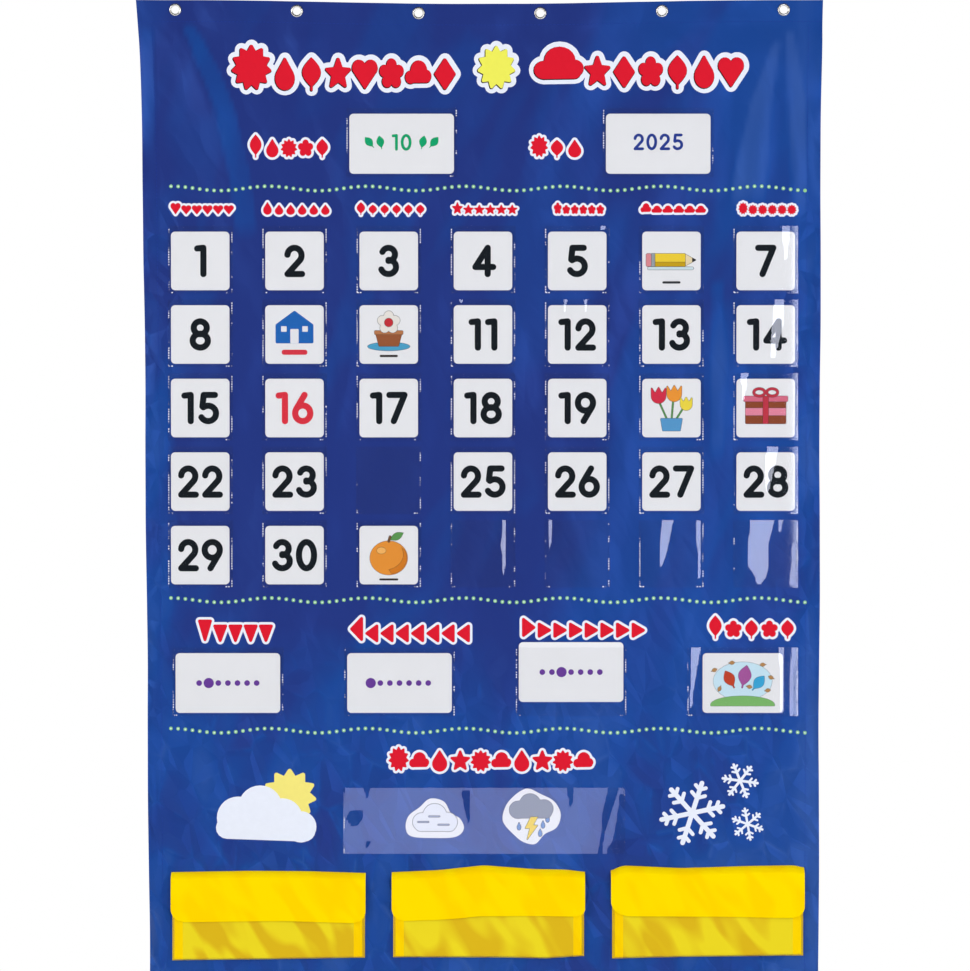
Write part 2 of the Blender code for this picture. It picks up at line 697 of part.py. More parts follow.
def flap_mesh():
    """Make the flap's inner face; its origin is the middle of its fold."""
    rows = flap_rows()
    half_width = POUCH_WIDTH / 2 + FLAP_SIDE_OVERLAP

    def place(column, row):
        """Place one point at the flap's left or right side."""
        depth, height, narrowing = rows[row]
        reach = half_width - narrowing
        return Vector((reach if column else -reach, -depth, height))

    return mapped_grid("storage_flap", 1, len(rows) - 1, place)


def build_pouches(pouch_material, flap_material, collection, parent):
    """Make the three storage pouches, and a flap that folds over each."""
    for index in range(POUCH_COUNT):
        top = POUCH_TOP - POUCH_DROPS[index]
        pouch_name = f"storage_pouch_{index + 1}"
        pouch = make_object(pouch_name, pouch_mesh(), pouch_material, collection, parent)
        pouch.location = (pouch_centre(index), depth_to_y(SEAT_GAP), top)
        wall = thicken(pouch, POUCH_FILM_THICKNESS, forward=False)
        wall.solidify_mode = "NON_MANIFOLD"
        wall.nonmanifold_thickness_mode = "CONSTRAINTS"
        wall.nonmanifold_boundary_mode = "FLAT"
        wall.nonmanifold_merge_threshold = POUCH_FILM_THICKNESS / 10
        flap_name = f"storage_flap_{index + 1}"
        flap = make_object(flap_name, flap_mesh(), flap_material, collection, parent)
        flap.location = (pouch_centre(index), depth_to_y(FLAP_HINGE_DEPTH), top + FLAP_HINGE_RISE)
        thicken(flap, FLAP_THICKNESS, forward=True)


def main():
    """Clear the scene and build the chart."""
    for obj in list(bpy.data.objects):
        bpy.data.objects.remove(obj)
    collection = bpy.data.collections.new("Calendar pocket chart")
    cutters = bpy.data.collections.new("Cutters")
    bpy.context.scene.collection.children.link(collection)
    bpy.context.scene.collection.children.link(cutters)
    chart = bpy.data.objects.new("chart", None)
    collection.objects.link(chart)

    sheet_material = make_material("blue coated nylon", (0.022, 0.047, 0.260), 0.35)
    eyelet_material = make_material("nickel plated brass", (0.80, 0.80, 0.78), 0.25, metallic=1.0)
    film_material = make_material("clear vinyl film", (0.80, 0.84, 0.95), 0.10, alpha=0.25)
    card_material = make_material("laminated card", (0.80, 0.80, 0.82), 0.40)
    piece_material = make_material("die-cut card", (0.72, 0.74, 0.80), 0.40)
    pouch_material = make_material("yellow vinyl", (0.85, 0.62, 0.03), 0.35)
    flap_material = make_material("bright yellow vinyl", (1.0, 0.68, 0.0), 0.30)

    build_sheet(sheet_material, collection, cutters, chart)
    build_eyelets(eyelet_material, collection, chart)
    build_films(film_material, collection, chart)
    build_date_cards(card_material, collection, chart)
    build_word_cards(card_material, collection, chart)
    build_weather_pieces(piece_material, collection, chart)
    build_pouches(pouch_material, flap_material, collection, chart)


main()
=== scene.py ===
"""Looks of the calendar pocket chart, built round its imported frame.

The frame's own axes hold throughout: +Z up, X to the viewer's right, the chart's face looking
along -Y, and the origin on the sheet's flat back, midway between the end eyelets. Sizes are in
millimetres, and MM turns them to Blender's metres.
"""

import json
import logging
import math
from dataclasses import dataclass
from enum import Enum
from functools import cache
from typing import Callable, Iterable, Protocol, Sequence

import bmesh
import bpy
import numpy as np
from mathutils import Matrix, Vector
from mathutils.geometry import delaunay_2d_cdt


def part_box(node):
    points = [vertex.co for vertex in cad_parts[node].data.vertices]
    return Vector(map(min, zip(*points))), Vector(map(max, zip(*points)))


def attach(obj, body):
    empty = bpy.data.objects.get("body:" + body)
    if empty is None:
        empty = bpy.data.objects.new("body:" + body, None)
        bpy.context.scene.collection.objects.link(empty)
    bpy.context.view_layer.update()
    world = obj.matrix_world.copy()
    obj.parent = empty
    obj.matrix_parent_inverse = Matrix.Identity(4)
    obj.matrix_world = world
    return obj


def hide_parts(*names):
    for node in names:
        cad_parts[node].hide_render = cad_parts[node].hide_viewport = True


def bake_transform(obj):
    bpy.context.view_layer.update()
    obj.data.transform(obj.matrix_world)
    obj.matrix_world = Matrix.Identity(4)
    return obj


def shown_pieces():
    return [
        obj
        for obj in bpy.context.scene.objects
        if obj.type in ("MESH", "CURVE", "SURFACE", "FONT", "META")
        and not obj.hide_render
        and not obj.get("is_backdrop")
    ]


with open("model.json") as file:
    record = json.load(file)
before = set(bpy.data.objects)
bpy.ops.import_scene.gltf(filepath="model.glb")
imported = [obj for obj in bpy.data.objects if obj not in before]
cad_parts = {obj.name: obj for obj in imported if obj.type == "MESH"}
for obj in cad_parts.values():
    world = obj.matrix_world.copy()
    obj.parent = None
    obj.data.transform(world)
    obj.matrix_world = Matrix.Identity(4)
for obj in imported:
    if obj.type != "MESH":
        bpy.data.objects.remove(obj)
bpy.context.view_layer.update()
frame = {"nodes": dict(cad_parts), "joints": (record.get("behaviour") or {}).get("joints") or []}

LOG = logging.getLogger("pocket_chart")
MM = 0.001
CHART = "chart"
# Typical of PVC, ink and laminate alike.
PLASTIC_IOR = 1.5

Tree = bpy.types.NodeTree
Socket = bpy.types.NodeSocket
Point = tuple[float, float]
Faces = list[tuple[int, ...]]
Colour = tuple[float, float, float, float]
# Left, right, bottom and top of an upright rectangle.
Edges = tuple[float, float, float, float]


def linear(colour: str) -> Colour:
    """Turn an sRGB hex colour to linear light.

    Args:
        colour: Six hex digits after a hash mark.

    Returns:
        Red, green, blue and an alpha of 1.
    """
    channels = [int(colour[start:start + 2], 16) / 255 for start in (1, 3, 5)]
    light = [c / 12.92 if c <= 0.04045 else ((c + 0.055) / 1.055) ** 2.4 for c in channels]
    return (*light, 1.0)


@cache
def box_mm(node: str) -> tuple[np.ndarray, np.ndarray]:
    """Give a frame node's lowest and highest corners in millimetres.

    Args:
        node: The node's name.

    Returns:
        The two corners as arrays of X, Y and Z.
    """
    low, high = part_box(node)
    return np.array(low) / MM, np.array(high) / MM


def edges_of(node: str) -> Edges:
    """Give a frame node's left, right, bottom and top in millimetres."""
    low, high = box_mm(node)
    return low[0], high[0], low[2], high[2]


def ease(share: np.ndarray) -> np.ndarray:
    """Ease from 0 to 1 as the share does."""
    share = np.clip(share, 0.0, 1.0)
    return share * share * (3 - 2 * share)


def bell(offset: np.ndarray, spread: float) -> np.ndarray:
    """Give a rounded ridge of height 1 at no offset, this many millimetres wide to each side."""
    return np.exp(-((offset / spread) ** 2) / 2)


# Flat shapes


def arc(centre: Point, radii: Point, start: float, end: float, steps: int) -> list[Point]:
    """List points along an elliptical arc.

    Args:
        centre: Middle of the ellipse.
        radii: Its half width and half height.
        start: First angle in degrees, from the right and turning left.
        end: Last angle in degrees.
        steps: Number of stretches.

    Returns:
        One point more than the steps.
    """
    angles = [math.radians(start + (end - start) * step / steps) for step in range(steps + 1)]
    return [(centre[0] + radii[0] * math.cos(a), centre[1] + radii[1] * math.sin(a)) for a in angles]


@dataclass(frozen=True)
class Outline:
    """One line of a flat shape: a filled area, a stroke with round ends, or both.

    Attributes:
        points: Points along the line.
        radius: Half the width of the pen that follows the line.
        closed: Whether the last point joins the first.
        filled: Whether the area inside is part of the shape.
    """

    points: tuple[Point, ...]
    radius: float = 0.0
    closed: bool = True
    filled: bool = True

    def placed(self, centre: Point, width: float, height: float, turn: float = 0.0) -> "Outline":
        """Scale a unit line to a size, turn it and move it.

        Args:
            centre: Where the middle goes.
            width: Width that 1 becomes.
            height: Height that 1 becomes.
            turn: Turn to the left in degrees.

        Returns:
            The line in its place.
        """
        cosine, sine = math.cos(math.radians(turn)), math.sin(math.radians(turn))
        moved = []
        for x, y in self.points:
            across, up = x * width, y * height
            moved.append((centre[0] + across * cosine - up * sine, centre[1] + across * sine + up * cosine))
        return Outline(tuple(moved), self.radius * min(width, height), self.closed, self.filled)


def stroke(points: Iterable[Point], radius: float, closed: bool = False) -> Outline:
    """Give a stroke with round ends along a line."""
    return Outline(tuple(points), radius, closed, False)


def area(points: Iterable[Point], radius: float = 0.0) -> Outline:
    """Give a filled area, rounded out by a radius."""
    return Outline(tuple(points), radius)


def disc(centre: Point, radius: float, steps: int = 20) -> Outline:
    """Give a filled disc."""
    return area(arc(centre, (radius, radius), 0, 360 * (steps - 1) / steps, steps - 1))


def bar(left: float, right: float, low: float, high: float, corner: float) -> Outline:
    """Give a filled rectangle with round corners."""
    left, right, low, high = left + corner, right - corner, low + corner, high - corner
    return area(((left, low), (right, low), (right, high), (left, high)), corner)


def turned_left(points: Sequence[Point]) -> list[Point]:
    """Give a polygon's points in leftward order.

    Args:
        points: The polygon's corners.

    Returns:
        The corners, turning left.
    """
    pairs = zip(points, [*points[1:], points[0]])
    doubled_area = sum(a[0] * b[1] - b[0] * a[1] for a, b in pairs)
    return list(points) if doubled_area > 0 else list(points)[::-1]


def pen_track(line: Outline, points: list[Point], radius: float) -> list[list[Point]]:
    """List the areas that a round pen covers along a line.

    Args:
        line: The line; a filled one needs only what lies outside it.
        points: Its points, in leftward order where it is filled.
        radius: The pen's.

    Returns:
        A strip for each stretch, a wedge for each bend and a cap for each loose end.
    """
    # In radians: the longest step round a bend, and the slightest bend that leaves a gap.
    longest_step, slightest_bend = 0.42, 0.02
    count = len(points)
    stretches = count if line.closed else count - 1
    angles = []
    for index in range(stretches):
        (x, y), (end_x, end_y) = points[index], points[(index + 1) % count]
        angles.append(math.atan2(end_y - y, end_x - x))
    found = []

    def spot(centre: Point, angle: float) -> Point:
        """Give the pen's edge at an angle from its centre."""
        return centre[0] + radius * math.cos(angle), centre[1] + radius * math.sin(angle)

    def sweep(centre: Point, start: float, end: float) -> None:
        """Cover the sector between two angles, turning left.

        Args:
            centre: Middle of the sector.
            start: First angle in radians.
            end: Last angle.
        """
        steps = max(1, math.ceil((end - start) / longest_step))
        rim = [spot(centre, start + (end - start) * step / steps) for step in range(steps + 1)]
        found.append([centre, *rim])

    for index, angle in enumerate(angles):
        start, end = points[index], points[(index + 1) % count]
        right = angle - math.pi / 2
        if line.filled:
            found.append([start, spot(start, right), spot(end, right), end])
        else:
            left = angle + math.pi / 2
            found.append([spot(start, right), spot(end, right), spot(end, left), spot(start, left)])
        if index == stretches - 1 and not line.closed:
            continue
        after = angles[(index + 1) % stretches]
        bend = (after - angle + math.pi) % (2 * math.pi) - math.pi
        if bend > slightest_bend:
            sweep(end, right, right + bend)
        elif bend < -slightest_bend and not line.filled:
            sweep(end, angle + bend + math.pi / 2, angle + math.pi / 2)
    if not line.closed:
        sweep(points[0], angles[0] + math.pi / 2, angles[0] + 3 * math.pi / 2)
        sweep(points[-1], angles[-1] - math.pi / 2, angles[-1] + math.pi / 2)
    return found


def merged(outlines: Iterable[Outline], grow: float = 0.0) -> bmesh.types.BMesh:
    """Join a shape's areas into one flat mesh with no inner overlaps.

    Args:
        outlines: The shape's lines.
        grow: How far the shape's edge moves out.

    Returns:
        A mesh in the XY plane that faces along +Z.
    """
    tolerance = 1e-4
    level = math.radians(0.5)
    points: list[Vector] = []
    loops: list[list[int]] = []
    for line in outlines:
        spots = turned_left(line.points) if line.filled else list(line.points)
        polygons = [spots] if line.filled else []
        if line.radius + grow > 0:
            polygons += pen_track(line, spots, line.radius + grow)
        for polygon in polygons:
            first = len(points)
            points += [Vector(point) for point in polygon]
            loops.append(list(range(first, len(points))))
    found, _, triangles, _, _, sources = delaunay_2d_cdt(points, [], loops, 1, tolerance)
    bm = bmesh.new()
    verts = [bm.verts.new((point.x, point.y, 0)) for point in found]
    for triangle, source in zip(triangles, sources):
        if source:
            bm.faces.new([verts[index] for index in triangle])
    bmesh.ops.delete(bm, geom=[vert for vert in bm.verts if not vert.link_faces], context="VERTS")
    bmesh.ops.dissolve_limit(bm, angle_limit=level, verts=bm.verts, edges=bm.edges)
    for face in bm.faces:
        face.normal_update()
        if face.normal.z < 0:
            face.normal_flip()
    return bm


def slice_cells(bm: bmesh.types.BMesh, cell: float) -> None:
    """Cut a flat mesh along a square grid, so that it can bend with what it is printed on.

    Args:
        bm: The flat mesh.
        cell: Spacing of the grid.
    """
    for axis in (0, 1):
        places = [vert.co[axis] for vert in bm.verts]
        normal = Vector((1 - axis, axis, 0))
        for step in range(math.floor(min(places) / cell) + 1, math.ceil(max(places) / cell)):
            parts = bm.verts[:] + bm.edges[:] + bm.faces[:]
            bmesh.ops.bisect_plane(bm, geom=parts, dist=1e-5, plane_co=normal * cell * step, plane_no=normal)


class Motif(Enum):
    """Plain figures that are printed where a chart has its headings."""

    SUN = "sun"
    DROP = "drop"
    LEAF = "leaf"
    DIAMOND = "diamond"
    STAR = "star"
    CLOUD = "cloud"
    FLOWER = "flower"
    HEART = "heart"
    WEDGE_LEFT = "wedge left"
    WEDGE_RIGHT = "wedge right"
    WEDGE_DOWN = "wedge down"


def starred(points: int, outer: float, inner: float, radius: float) -> list[Outline]:
    """Give a star with this many points.

    Args:
        points: Its number of points.
        outer: From its middle to a point.
        inner: From its middle to a notch.
        radius: How far it is rounded out.

    Returns:
        The star's one area.
    """
    spots = []
    for step in range(2 * points):
        reach = inner if step % 2 else outer
        angle = math.pi / 2 + math.pi * step / points
        spots.append((reach * math.cos(angle), reach * math.sin(angle)))
    return [area(spots, radius)]


def unit_motif(motif: Motif) -> list[Outline]:
    """Draw a figure in a box one wide and one high round its middle.

    Args:
        motif: Which figure.

    Returns:
        Its lines, as shares of the box.
    """
    quarter = [(0.0, 0.36), (0.36, -0.3), (-0.36, -0.3)]
    if motif is Motif.SUN:
        return starred(11, outer=0.46, inner=0.33, radius=0.04)
    if motif is Motif.DROP:
        return [area([(0.0, 0.46)] + arc((0, -0.13), (0.33, 0.33), 30, -210, 14), 0.04)]
    if motif is Motif.LEAF:
        side = [(0.33 * math.sin(math.pi * step / 10), step / 10 * 0.86 - 0.38) for step in range(11)]
        blade = side + [(-x, y) for x, y in side[-2:0:-1]]
        return [area(blade, 0.02), stroke([(0, -0.3), (0, -0.48)], 0.04)]
    if motif is Motif.DIAMOND:
        return [area([(-0.34, 0.0), (0.0, -0.42), (0.34, 0.0), (0.0, 0.42)], 0.06)]
    if motif is Motif.STAR:
        return starred(5, outer=0.44, inner=0.2, radius=0.06)
    if motif is Motif.CLOUD:
        puffs = [disc((-0.29, -0.1), 0.2), disc((0.02, 0.1), 0.31), disc((0.3, -0.06), 0.19)]
        return puffs + [stroke([(-0.3, -0.16), (0.31, -0.15)], 0.14)]
    if motif is Motif.FLOWER:
        petals = [disc(spot, 0.19) for spot in arc((0, 0), (0.28, 0.28), 90, 378, 4)]
        return petals + [disc((0, 0), 0.2)]
    if motif is Motif.HEART:
        lobes = arc((-0.22, 0.18), (0.22, 0.22), 200, 20, 9) + arc((0.22, 0.18), (0.22, 0.22), 160, -20, 9)
        return [area(lobes + [(0.0, -0.42)], 0.04)]
    turn = {Motif.WEDGE_LEFT: 90.0, Motif.WEDGE_RIGHT: -90.0, Motif.WEDGE_DOWN: 180.0}[motif]
    return [area(quarter, 0.1).placed((0, 0), 1, 1, turn)]


@dataclass(frozen=True)
class Numerals:
    """Rounded numerals, each drawn with one width of pen.

    Attributes:
        height: Height of a numeral with its stroke.
        pen: Width of the stroke.
        width_share: Width between stroke centres, as a share of the height between them.
        one_share: The same width in the numeral 1.
        gap: Space between two numerals.
        after_one: Extra space after a 1, as a share of the height.
    """

    height: float
    pen: float
    width_share: float = 0.58
    one_share: float = 0.24
    gap: float = 2.8
    after_one: float = 0.04

    def lines(self, digit: str) -> list[list[Point]]:
        """Give a numeral's strokes as shares of the height between stroke centres.

        Args:
            digit: Which numeral.

        Returns:
            The strokes, each as its points.
        """
        wide = self.width_share
        middle = wide / 2
        six = [arc((middle, 0.3), (middle, 0.3), 152, 512, 24), [(0.035, 0.45), (0.36, 1.0)]]
        shapes = {
            "0": [arc((middle, 0.5), (middle, 0.5), 90, 450, 30)],
            "1": [[(0.0, 0.975), (self.one_share, 1.0), (self.one_share, 0.0)]],
            "2": [arc((middle, 0.71), (middle - 0.02, 0.29), 175, -36, 15) + [(0.02, 0.0), (wide, 0.0)]],
            "3": [
                arc((middle - 0.01, 0.75), (0.25, 0.25), 158, -90, 14),
                arc((middle - 0.01, 0.27), (middle, 0.27), 90, -160, 16),
            ],
            "4": [[(0.47, 0.0), (0.47, 1.0), (0.0, 0.27), (wide + 0.1, 0.27)]],
            "5": [
                [(wide - 0.04, 1.0), (0.11, 1.0), (0.06, 0.56)]
                + arc((0.28, 0.295), (0.30, 0.295), 128, -150, 17),
            ],
            "6": six,
            "7": [[(0.0, 1.0), (wide, 1.0), (0.17, 0.0)]],
            "8": [
                arc((middle, 0.755), (0.25, 0.245), -90, 270, 22),
                arc((middle, 0.265), (middle, 0.265), 90, 450, 24),
            ],
            "9": [[(wide - x, 1 - y) for x, y in line] for line in six],
        }
        return shapes[digit]

    def width(self, digit: str) -> float:
        """Give the inked width of a numeral."""
        share = self.one_share if digit == "1" else self.width_share
        return share * (self.height - self.pen) + self.pen

    def write(self, number: str, centre: Point) -> list[Outline]:
        """Write a number round a point.

        Args:
            number: The digits.
            centre: Middle of the number.

        Returns:
            Its strokes.
        """
        tall = self.height - self.pen
        after_one = self.after_one * self.height
        gaps = [self.gap + (after_one if digit == "1" else 0.0) for digit in number[:-1]] + [0.0]
        total = sum(self.width(digit) for digit in number) + sum(gaps)
        left = centre[0] - total / 2 + self.pen / 2
        found = []
        for digit, gap in zip(number, gaps):
            for line in self.lines(digit):
                spots = [(left + x * tall, centre[1] + (y - 0.5) * tall) for x, y in line]
                found.append(stroke(spots, self.pen / 2))
            left += self.width(digit) + gap
        return found


# Nodes and finishes


def add_node(tree: Tree, kind: str, inputs: dict | None = None, **settings: object) -> bpy.types.Node:
    """Add a node with its settings, its values and the links into it.

    Args:
        tree: Tree that takes the node.
        kind: The node's type name.
        inputs: A value or another node's output for each input, by name or place.
        **settings: The node's own settings.

    Returns:
        The node.
    """
    node = tree.nodes.new(kind)
    for key, value in settings.items():
        setattr(node, key, value)
    for key, value in (inputs or {}).items():
        if isinstance(value, Socket):
            tree.links.new(value, node.inputs[key])
        else:
            node.inputs[key].default_value = value
    return node


@dataclass(frozen=True)
class Finish:
    """A surface: what it is made of and how it was made.

    Attributes:
        name: The material's plain name.
        slot: The record's slot that it belongs to.
    """

    name: str
    slot: str

    def material(self) -> bpy.types.Material:
        """Make the material once, and give it again after that.

        Returns:
            The material.
        """
        known = bpy.data.materials.get(self.name)
        if known is not None:
            return known
        material = bpy.data.materials.new(self.name)
        material.use_nodes = True
        tree = material.node_tree
        tree.nodes.clear()
        surface = self.shade(tree)
        add_node(tree, "ShaderNodeOutputMaterial", {"Surface": surface})
        return material

    def shade(self, tree: Tree) -> Socket:
        """Build the shader; each finish has its own."""
        raise NotImplementedError


def laid_out(tree: Tree, stretch: float, turn: float) -> Socket:
    """Give the chart's own coordinates, drawn out along a line this many degrees from upright.

    Args:
        tree: The material's tree.
        stretch: How many times longer a pattern gets along the line.
        turn: The line's turn from upright in degrees.

    Returns:
        The coordinates.
    """
    inputs = {
        "Vector": add_node(tree, "ShaderNodeTexCoord").outputs["Object"],
        "Rotation": (0.0, math.radians(turn), 0.0), "Scale": (1.0, 1.0, stretch),
    }
    return add_node(tree, "ShaderNodeMapping", inputs, vector_type="TEXTURE").outputs["Vector"]


def pattern(
    tree: Tree, size: float, stretch: float = 1.0, turn: float = 0.0, detail: float = 2.0, warp: float = 0.3
) -> Socket:
    """Give a soft random pattern in the chart's own frame, so that pieces that touch share it.

    Args:
        tree: The material's tree.
        size: Width of its patches in millimetres.
        stretch: How many times longer than wide they are.
        turn: Turn of their length from upright in degrees.
        detail: How many finer patterns lie over it.
        warp: How far its patches bend.

    Returns:
        A value round 0.5.
    """
    inputs = {
        "Vector": laid_out(tree, stretch, turn), "Scale": 1 / (size * MM),
        "Detail": detail, "Distortion": warp,
    }
    return add_node(tree, "ShaderNodeTexNoise", inputs).outputs["Fac"]


def sheet_creases(tree: Tree) -> Socket:
    """Bend the shading along the slanting drapes and small creases that sheet and ink share.

    Args:
        tree: The material's tree.

    Returns:
        The bent shading normal.
    """
    right_drape = pattern(tree, 70.0, stretch=5.0, turn=17.0, detail=0.0)
    left_drape = pattern(tree, 52.0, stretch=6.0, turn=-20.0, detail=0.0)
    small_crease = pattern(tree, 23.0, stretch=3.0, turn=-32.0, detail=1.0, warp=0.8)
    bend: dict[str, Socket] = {}
    for height, depth in ((right_drape, 8.0), (left_drape, 5.0), (small_crease, 0.6)):
        bump = add_node(tree, "ShaderNodeBump", {"Height": height, "Distance": depth * MM, **bend})
        bend = {"Normal": bump.outputs["Normal"]}
    return bend["Normal"]


@dataclass(frozen=True)
class CoatedNylon(Finish):
    """Nylon cloth with a thin PVC coat, which gives broad soft highlights on its folds; paler sheen is
    painted on too.

    Attributes:
        colour: Dyed cloth.
        worn: Paler blue, painted as sheen in broad areas and bands and on lit facets, and used in random
            patches.
        pale: The palest painted sheen.
        gleam: Colour that the coat's highlights take from the dye below.
        roughness: Of the coat.
        facet: Width of the flat facets that crumpling leaves.
        facet_depth: How deep their slopes are drawn.
        thread: Spacing of the weave as drawn; the real one, near 0.4 mm, is too fine to show.
        thread_depth: How deep the weave is drawn.
    """

    colour: str = "#233277"
    worn: str = "#1A438D"
    pale: str = "#2F5298"
    gleam: str = "#4A78D8"
    roughness: float = 0.33
    facet: float = 25.0
    facet_depth: float = 5.0
    thread: float = 2.2
    thread_depth: float = 0.015

    def shade(self, tree: Tree) -> Socket:
        """Break the cloth up into facets, paint sheen and facet light and shade into its dye, and bend it by
        them.

        Args:
            tree: The material's tree.

        Returns:
            The surface's shader.
        """
        laid = {"Vector": laid_out(tree, stretch=1.7, turn=-24.0), "Scale": 1 / (self.facet * MM)}
        soft = {**laid, "Smoothness": 0.75}
        edges = add_node(tree, "ShaderNodeTexVoronoi", laid, feature="DISTANCE_TO_EDGE")
        facets = add_node(tree, "ShaderNodeTexVoronoi", soft, feature="SMOOTH_F1")
        crumple = add_node(tree, "ShaderNodeAttribute", attribute_name="crumple").outputs["Fac"]
        cloth = {
            "Base Color": self.dye(tree, crumple, edges.outputs["Distance"], facets.outputs["Color"]),
            "Normal": self.relief(tree, crumple, edges.outputs["Distance"]),
            "IOR": PLASTIC_IOR, "Roughness": self.roughness, "Specular IOR Level": 0.9,
            "Specular Tint": linear(self.gleam),
        }
        return add_node(tree, "ShaderNodeBsdfPrincipled", cloth).outputs["BSDF"]

    def dye(self, tree: Tree, crumple: Socket, to_edge: Socket, facet: Socket) -> Socket:
        """Paint sheen and each facet's light and shade into the dye; pale it along some facet edges and in
        patches.

        Args:
            tree: The material's tree.
            crumple: How crumpled the sheet is.
            to_edge: Distance to the nearest edge of a facet.
            facet: A random tone of each facet's own, used as its painted light and shade.

        Returns:
            The cloth's colour.
        """
        # Painted sheen: broad lighter areas and light bands along the folds.
        wear = add_node(tree, "ShaderNodeAttribute", attribute_name="wear").outputs["Fac"]
        patch = pattern(tree, 95.0, stretch=2.8, turn=18.0, warp=0.8)
        broken = add_node(tree, "ShaderNodeMapRange", {0: pattern(tree, 30.0), 1: 0.50, 2: 0.64})
        near_edge = add_node(tree, "ShaderNodeMapRange", {0: to_edge, 1: 0.0, 2: 0.10, 3: 0.8, 4: 0.0})
        # Each facet lighter or darker at random: painted light and shade of the crumpled facets.
        facet_light_and_shade = add_node(tree, "ShaderNodeMapRange", {0: facet, 1: 0.2, 2: 0.8, 3: -0.38, 4: 0.38})
        patch_tone = add_node(tree, "ShaderNodeMapRange", {0: patch, 1: 0.38, 2: 0.62, 3: -0.45, 4: 0.40})
        tone = near_edge
        for operation, second, third in (
            ("MULTIPLY_ADD", broken.outputs[0], facet_light_and_shade.outputs[0]), ("MULTIPLY_ADD", crumple, wear),
            ("ADD", patch_tone.outputs[0], 0.0),
        ):
            inputs = {0: tone.outputs[0], 1: second, 2: third}
            tone = add_node(tree, "ShaderNodeMath", inputs, operation=operation)
        colour: Socket | Colour = linear(self.colour)
        for level, paler in ((0.0, self.worn), (1.0, self.pale)):
            share = add_node(tree, "ShaderNodeMapRange", {0: tone.outputs[0], 1: level, 2: level + 1})
            mix = {"Factor": share.outputs[0], "A": colour, "B": linear(paler)}
            colour = add_node(tree, "ShaderNodeMix", mix, data_type="RGBA").outputs["Result"]
        return colour

    def relief(self, tree: Tree, crumple: Socket, to_edge: Socket) -> Socket:
        """Dome the facets over the sheet's creases, and lay a faint weave over that.

        Args:
            tree: The material's tree.
            crumple: How crumpled the sheet is.
            to_edge: Distance to the nearest edge of a facet.

        Returns:
            The bent shading normal.
        """
        dome = add_node(tree, "ShaderNodeMapRange", {0: to_edge, 1: 0.0, 2: 0.6})
        facets = add_node(tree, "ShaderNodeMath", {0: dome.outputs[0], 1: crumple}, operation="MULTIPLY")
        reliefs = [(facets.outputs[0], self.facet_depth)]
        for direction in ("X", "Z"):
            # At a scale of 1, a wave texture has 20 bands to the metre.
            lines = {
                "Vector": add_node(tree, "ShaderNodeTexCoord").outputs["Object"],
                "Scale": 1 / (self.thread * MM) / 20,
            }
            threads = add_node(tree, "ShaderNodeTexWave", lines, bands_direction=direction)
            reliefs.append((threads.outputs["Fac"], self.thread_depth))
        bend = sheet_creases(tree)
        for height, depth in reliefs:
            bump = {"Height": height, "Distance": depth * MM, "Normal": bend}
            bend = add_node(tree, "ShaderNodeBump", bump).outputs["Normal"]
        return bend


@dataclass(frozen=True)
class ScreenInk(Finish):
    """Screen-printed ink, a thin satin layer that bends with the sheet's creases.

    Attributes:
        colour: The ink.
        roughness: Of the dried ink.
        mottle: How much darker the thinnest ink is.
    """

    colour: str = "#FFFFFF"
    roughness: float = 0.42
    mottle: float = 0.06

    def shade(self, tree: Tree) -> Socket:
        """Mottle the ink a little and bend it with the sheet.

        Args:
            tree: The material's tree.

        Returns:
            The surface's shader.
        """
        full = linear(self.colour)
        thin = tuple(channel * (1 - self.mottle) for channel in full[:3]) + (1.0,)
        mottled = {"Factor": pattern(tree, 6.0), "A": full, "B": thin}
        ink = {
            "Base Color": add_node(tree, "ShaderNodeMix", mottled, data_type="RGBA").outputs["Result"],
            "Normal": sheet_creases(tree), "IOR": PLASTIC_IOR, "Roughness": self.roughness,
            "Specular Tint": full,
        }
        return add_node(tree, "ShaderNodeBsdfPrincipled", ink).outputs["BSDF"]


@dataclass(frozen=True)
class LaminatedCard(Finish):
    """Card sealed in a clear laminate, flat and nearly white, with a faint cloudiness of the paper.

    Attributes:
        colour: Of the card or its print.
        roughness: Of the laminate.
        cloudiness: How much darker the paper is where it is cloudy.
    """

    colour: str = "#EBEBEC"
    roughness: float = 0.38
    cloudiness: float = 0.05

    def shade(self, tree: Tree) -> Socket:
        """Cloud the paper a little under its laminate.

        Args:
            tree: The material's tree.

        Returns:
            The surface's shader.
        """
        cloud = pattern(tree, 24.0, detail=3.0)
        full = linear(self.colour)
        shaded = tuple(channel * (1 - self.cloudiness) for channel in full[:3]) + (1.0,)
        clouded = {"Factor": cloud, "A": full, "B": shaded}
        bump = add_node(tree, "ShaderNodeBump", {"Height": cloud, "Distance": 0.02 * MM})
        card = {
            "Base Color": add_node(tree, "ShaderNodeMix", clouded, data_type="RGBA").outputs["Result"],
            "Normal": bump.outputs["Normal"], "IOR": PLASTIC_IOR, "Roughness": self.roughness,
            "Specular IOR Level": 0.3, "Specular Tint": full,
        }
        return add_node(tree, "ShaderNodeBsdfPrincipled", card).outputs["BSDF"]


@dataclass(frozen=True)
class NickelPlate(Finish):
    """Bright nickel over brass, pressed and slightly brushed, which blurs what it mirrors.

    Attributes:
        colour: Of the nickel.
        roughness: Where it is brightest.
    """

    colour: str = "#D8D6D0"
    roughness: float = 0.24

    def shade(self, tree: Tree) -> Socket:
        """Roughen the plate with fine handling marks.

        Args:
            tree: The material's tree.

        Returns:
            The surface's shader.
        """
        levels = {0: pattern(tree, 1.4, detail=4.0), 3: self.roughness - 0.06, 4: self.roughness + 0.1}
        marks = add_node(tree, "ShaderNodeMapRange", levels).outputs[0]
        metal = {"Base Color": linear(self.colour), "Metallic": 1.0, "Roughness": marks}
        return add_node(tree, "ShaderNodeBsdfPrincipled", metal).outputs["BSDF"]


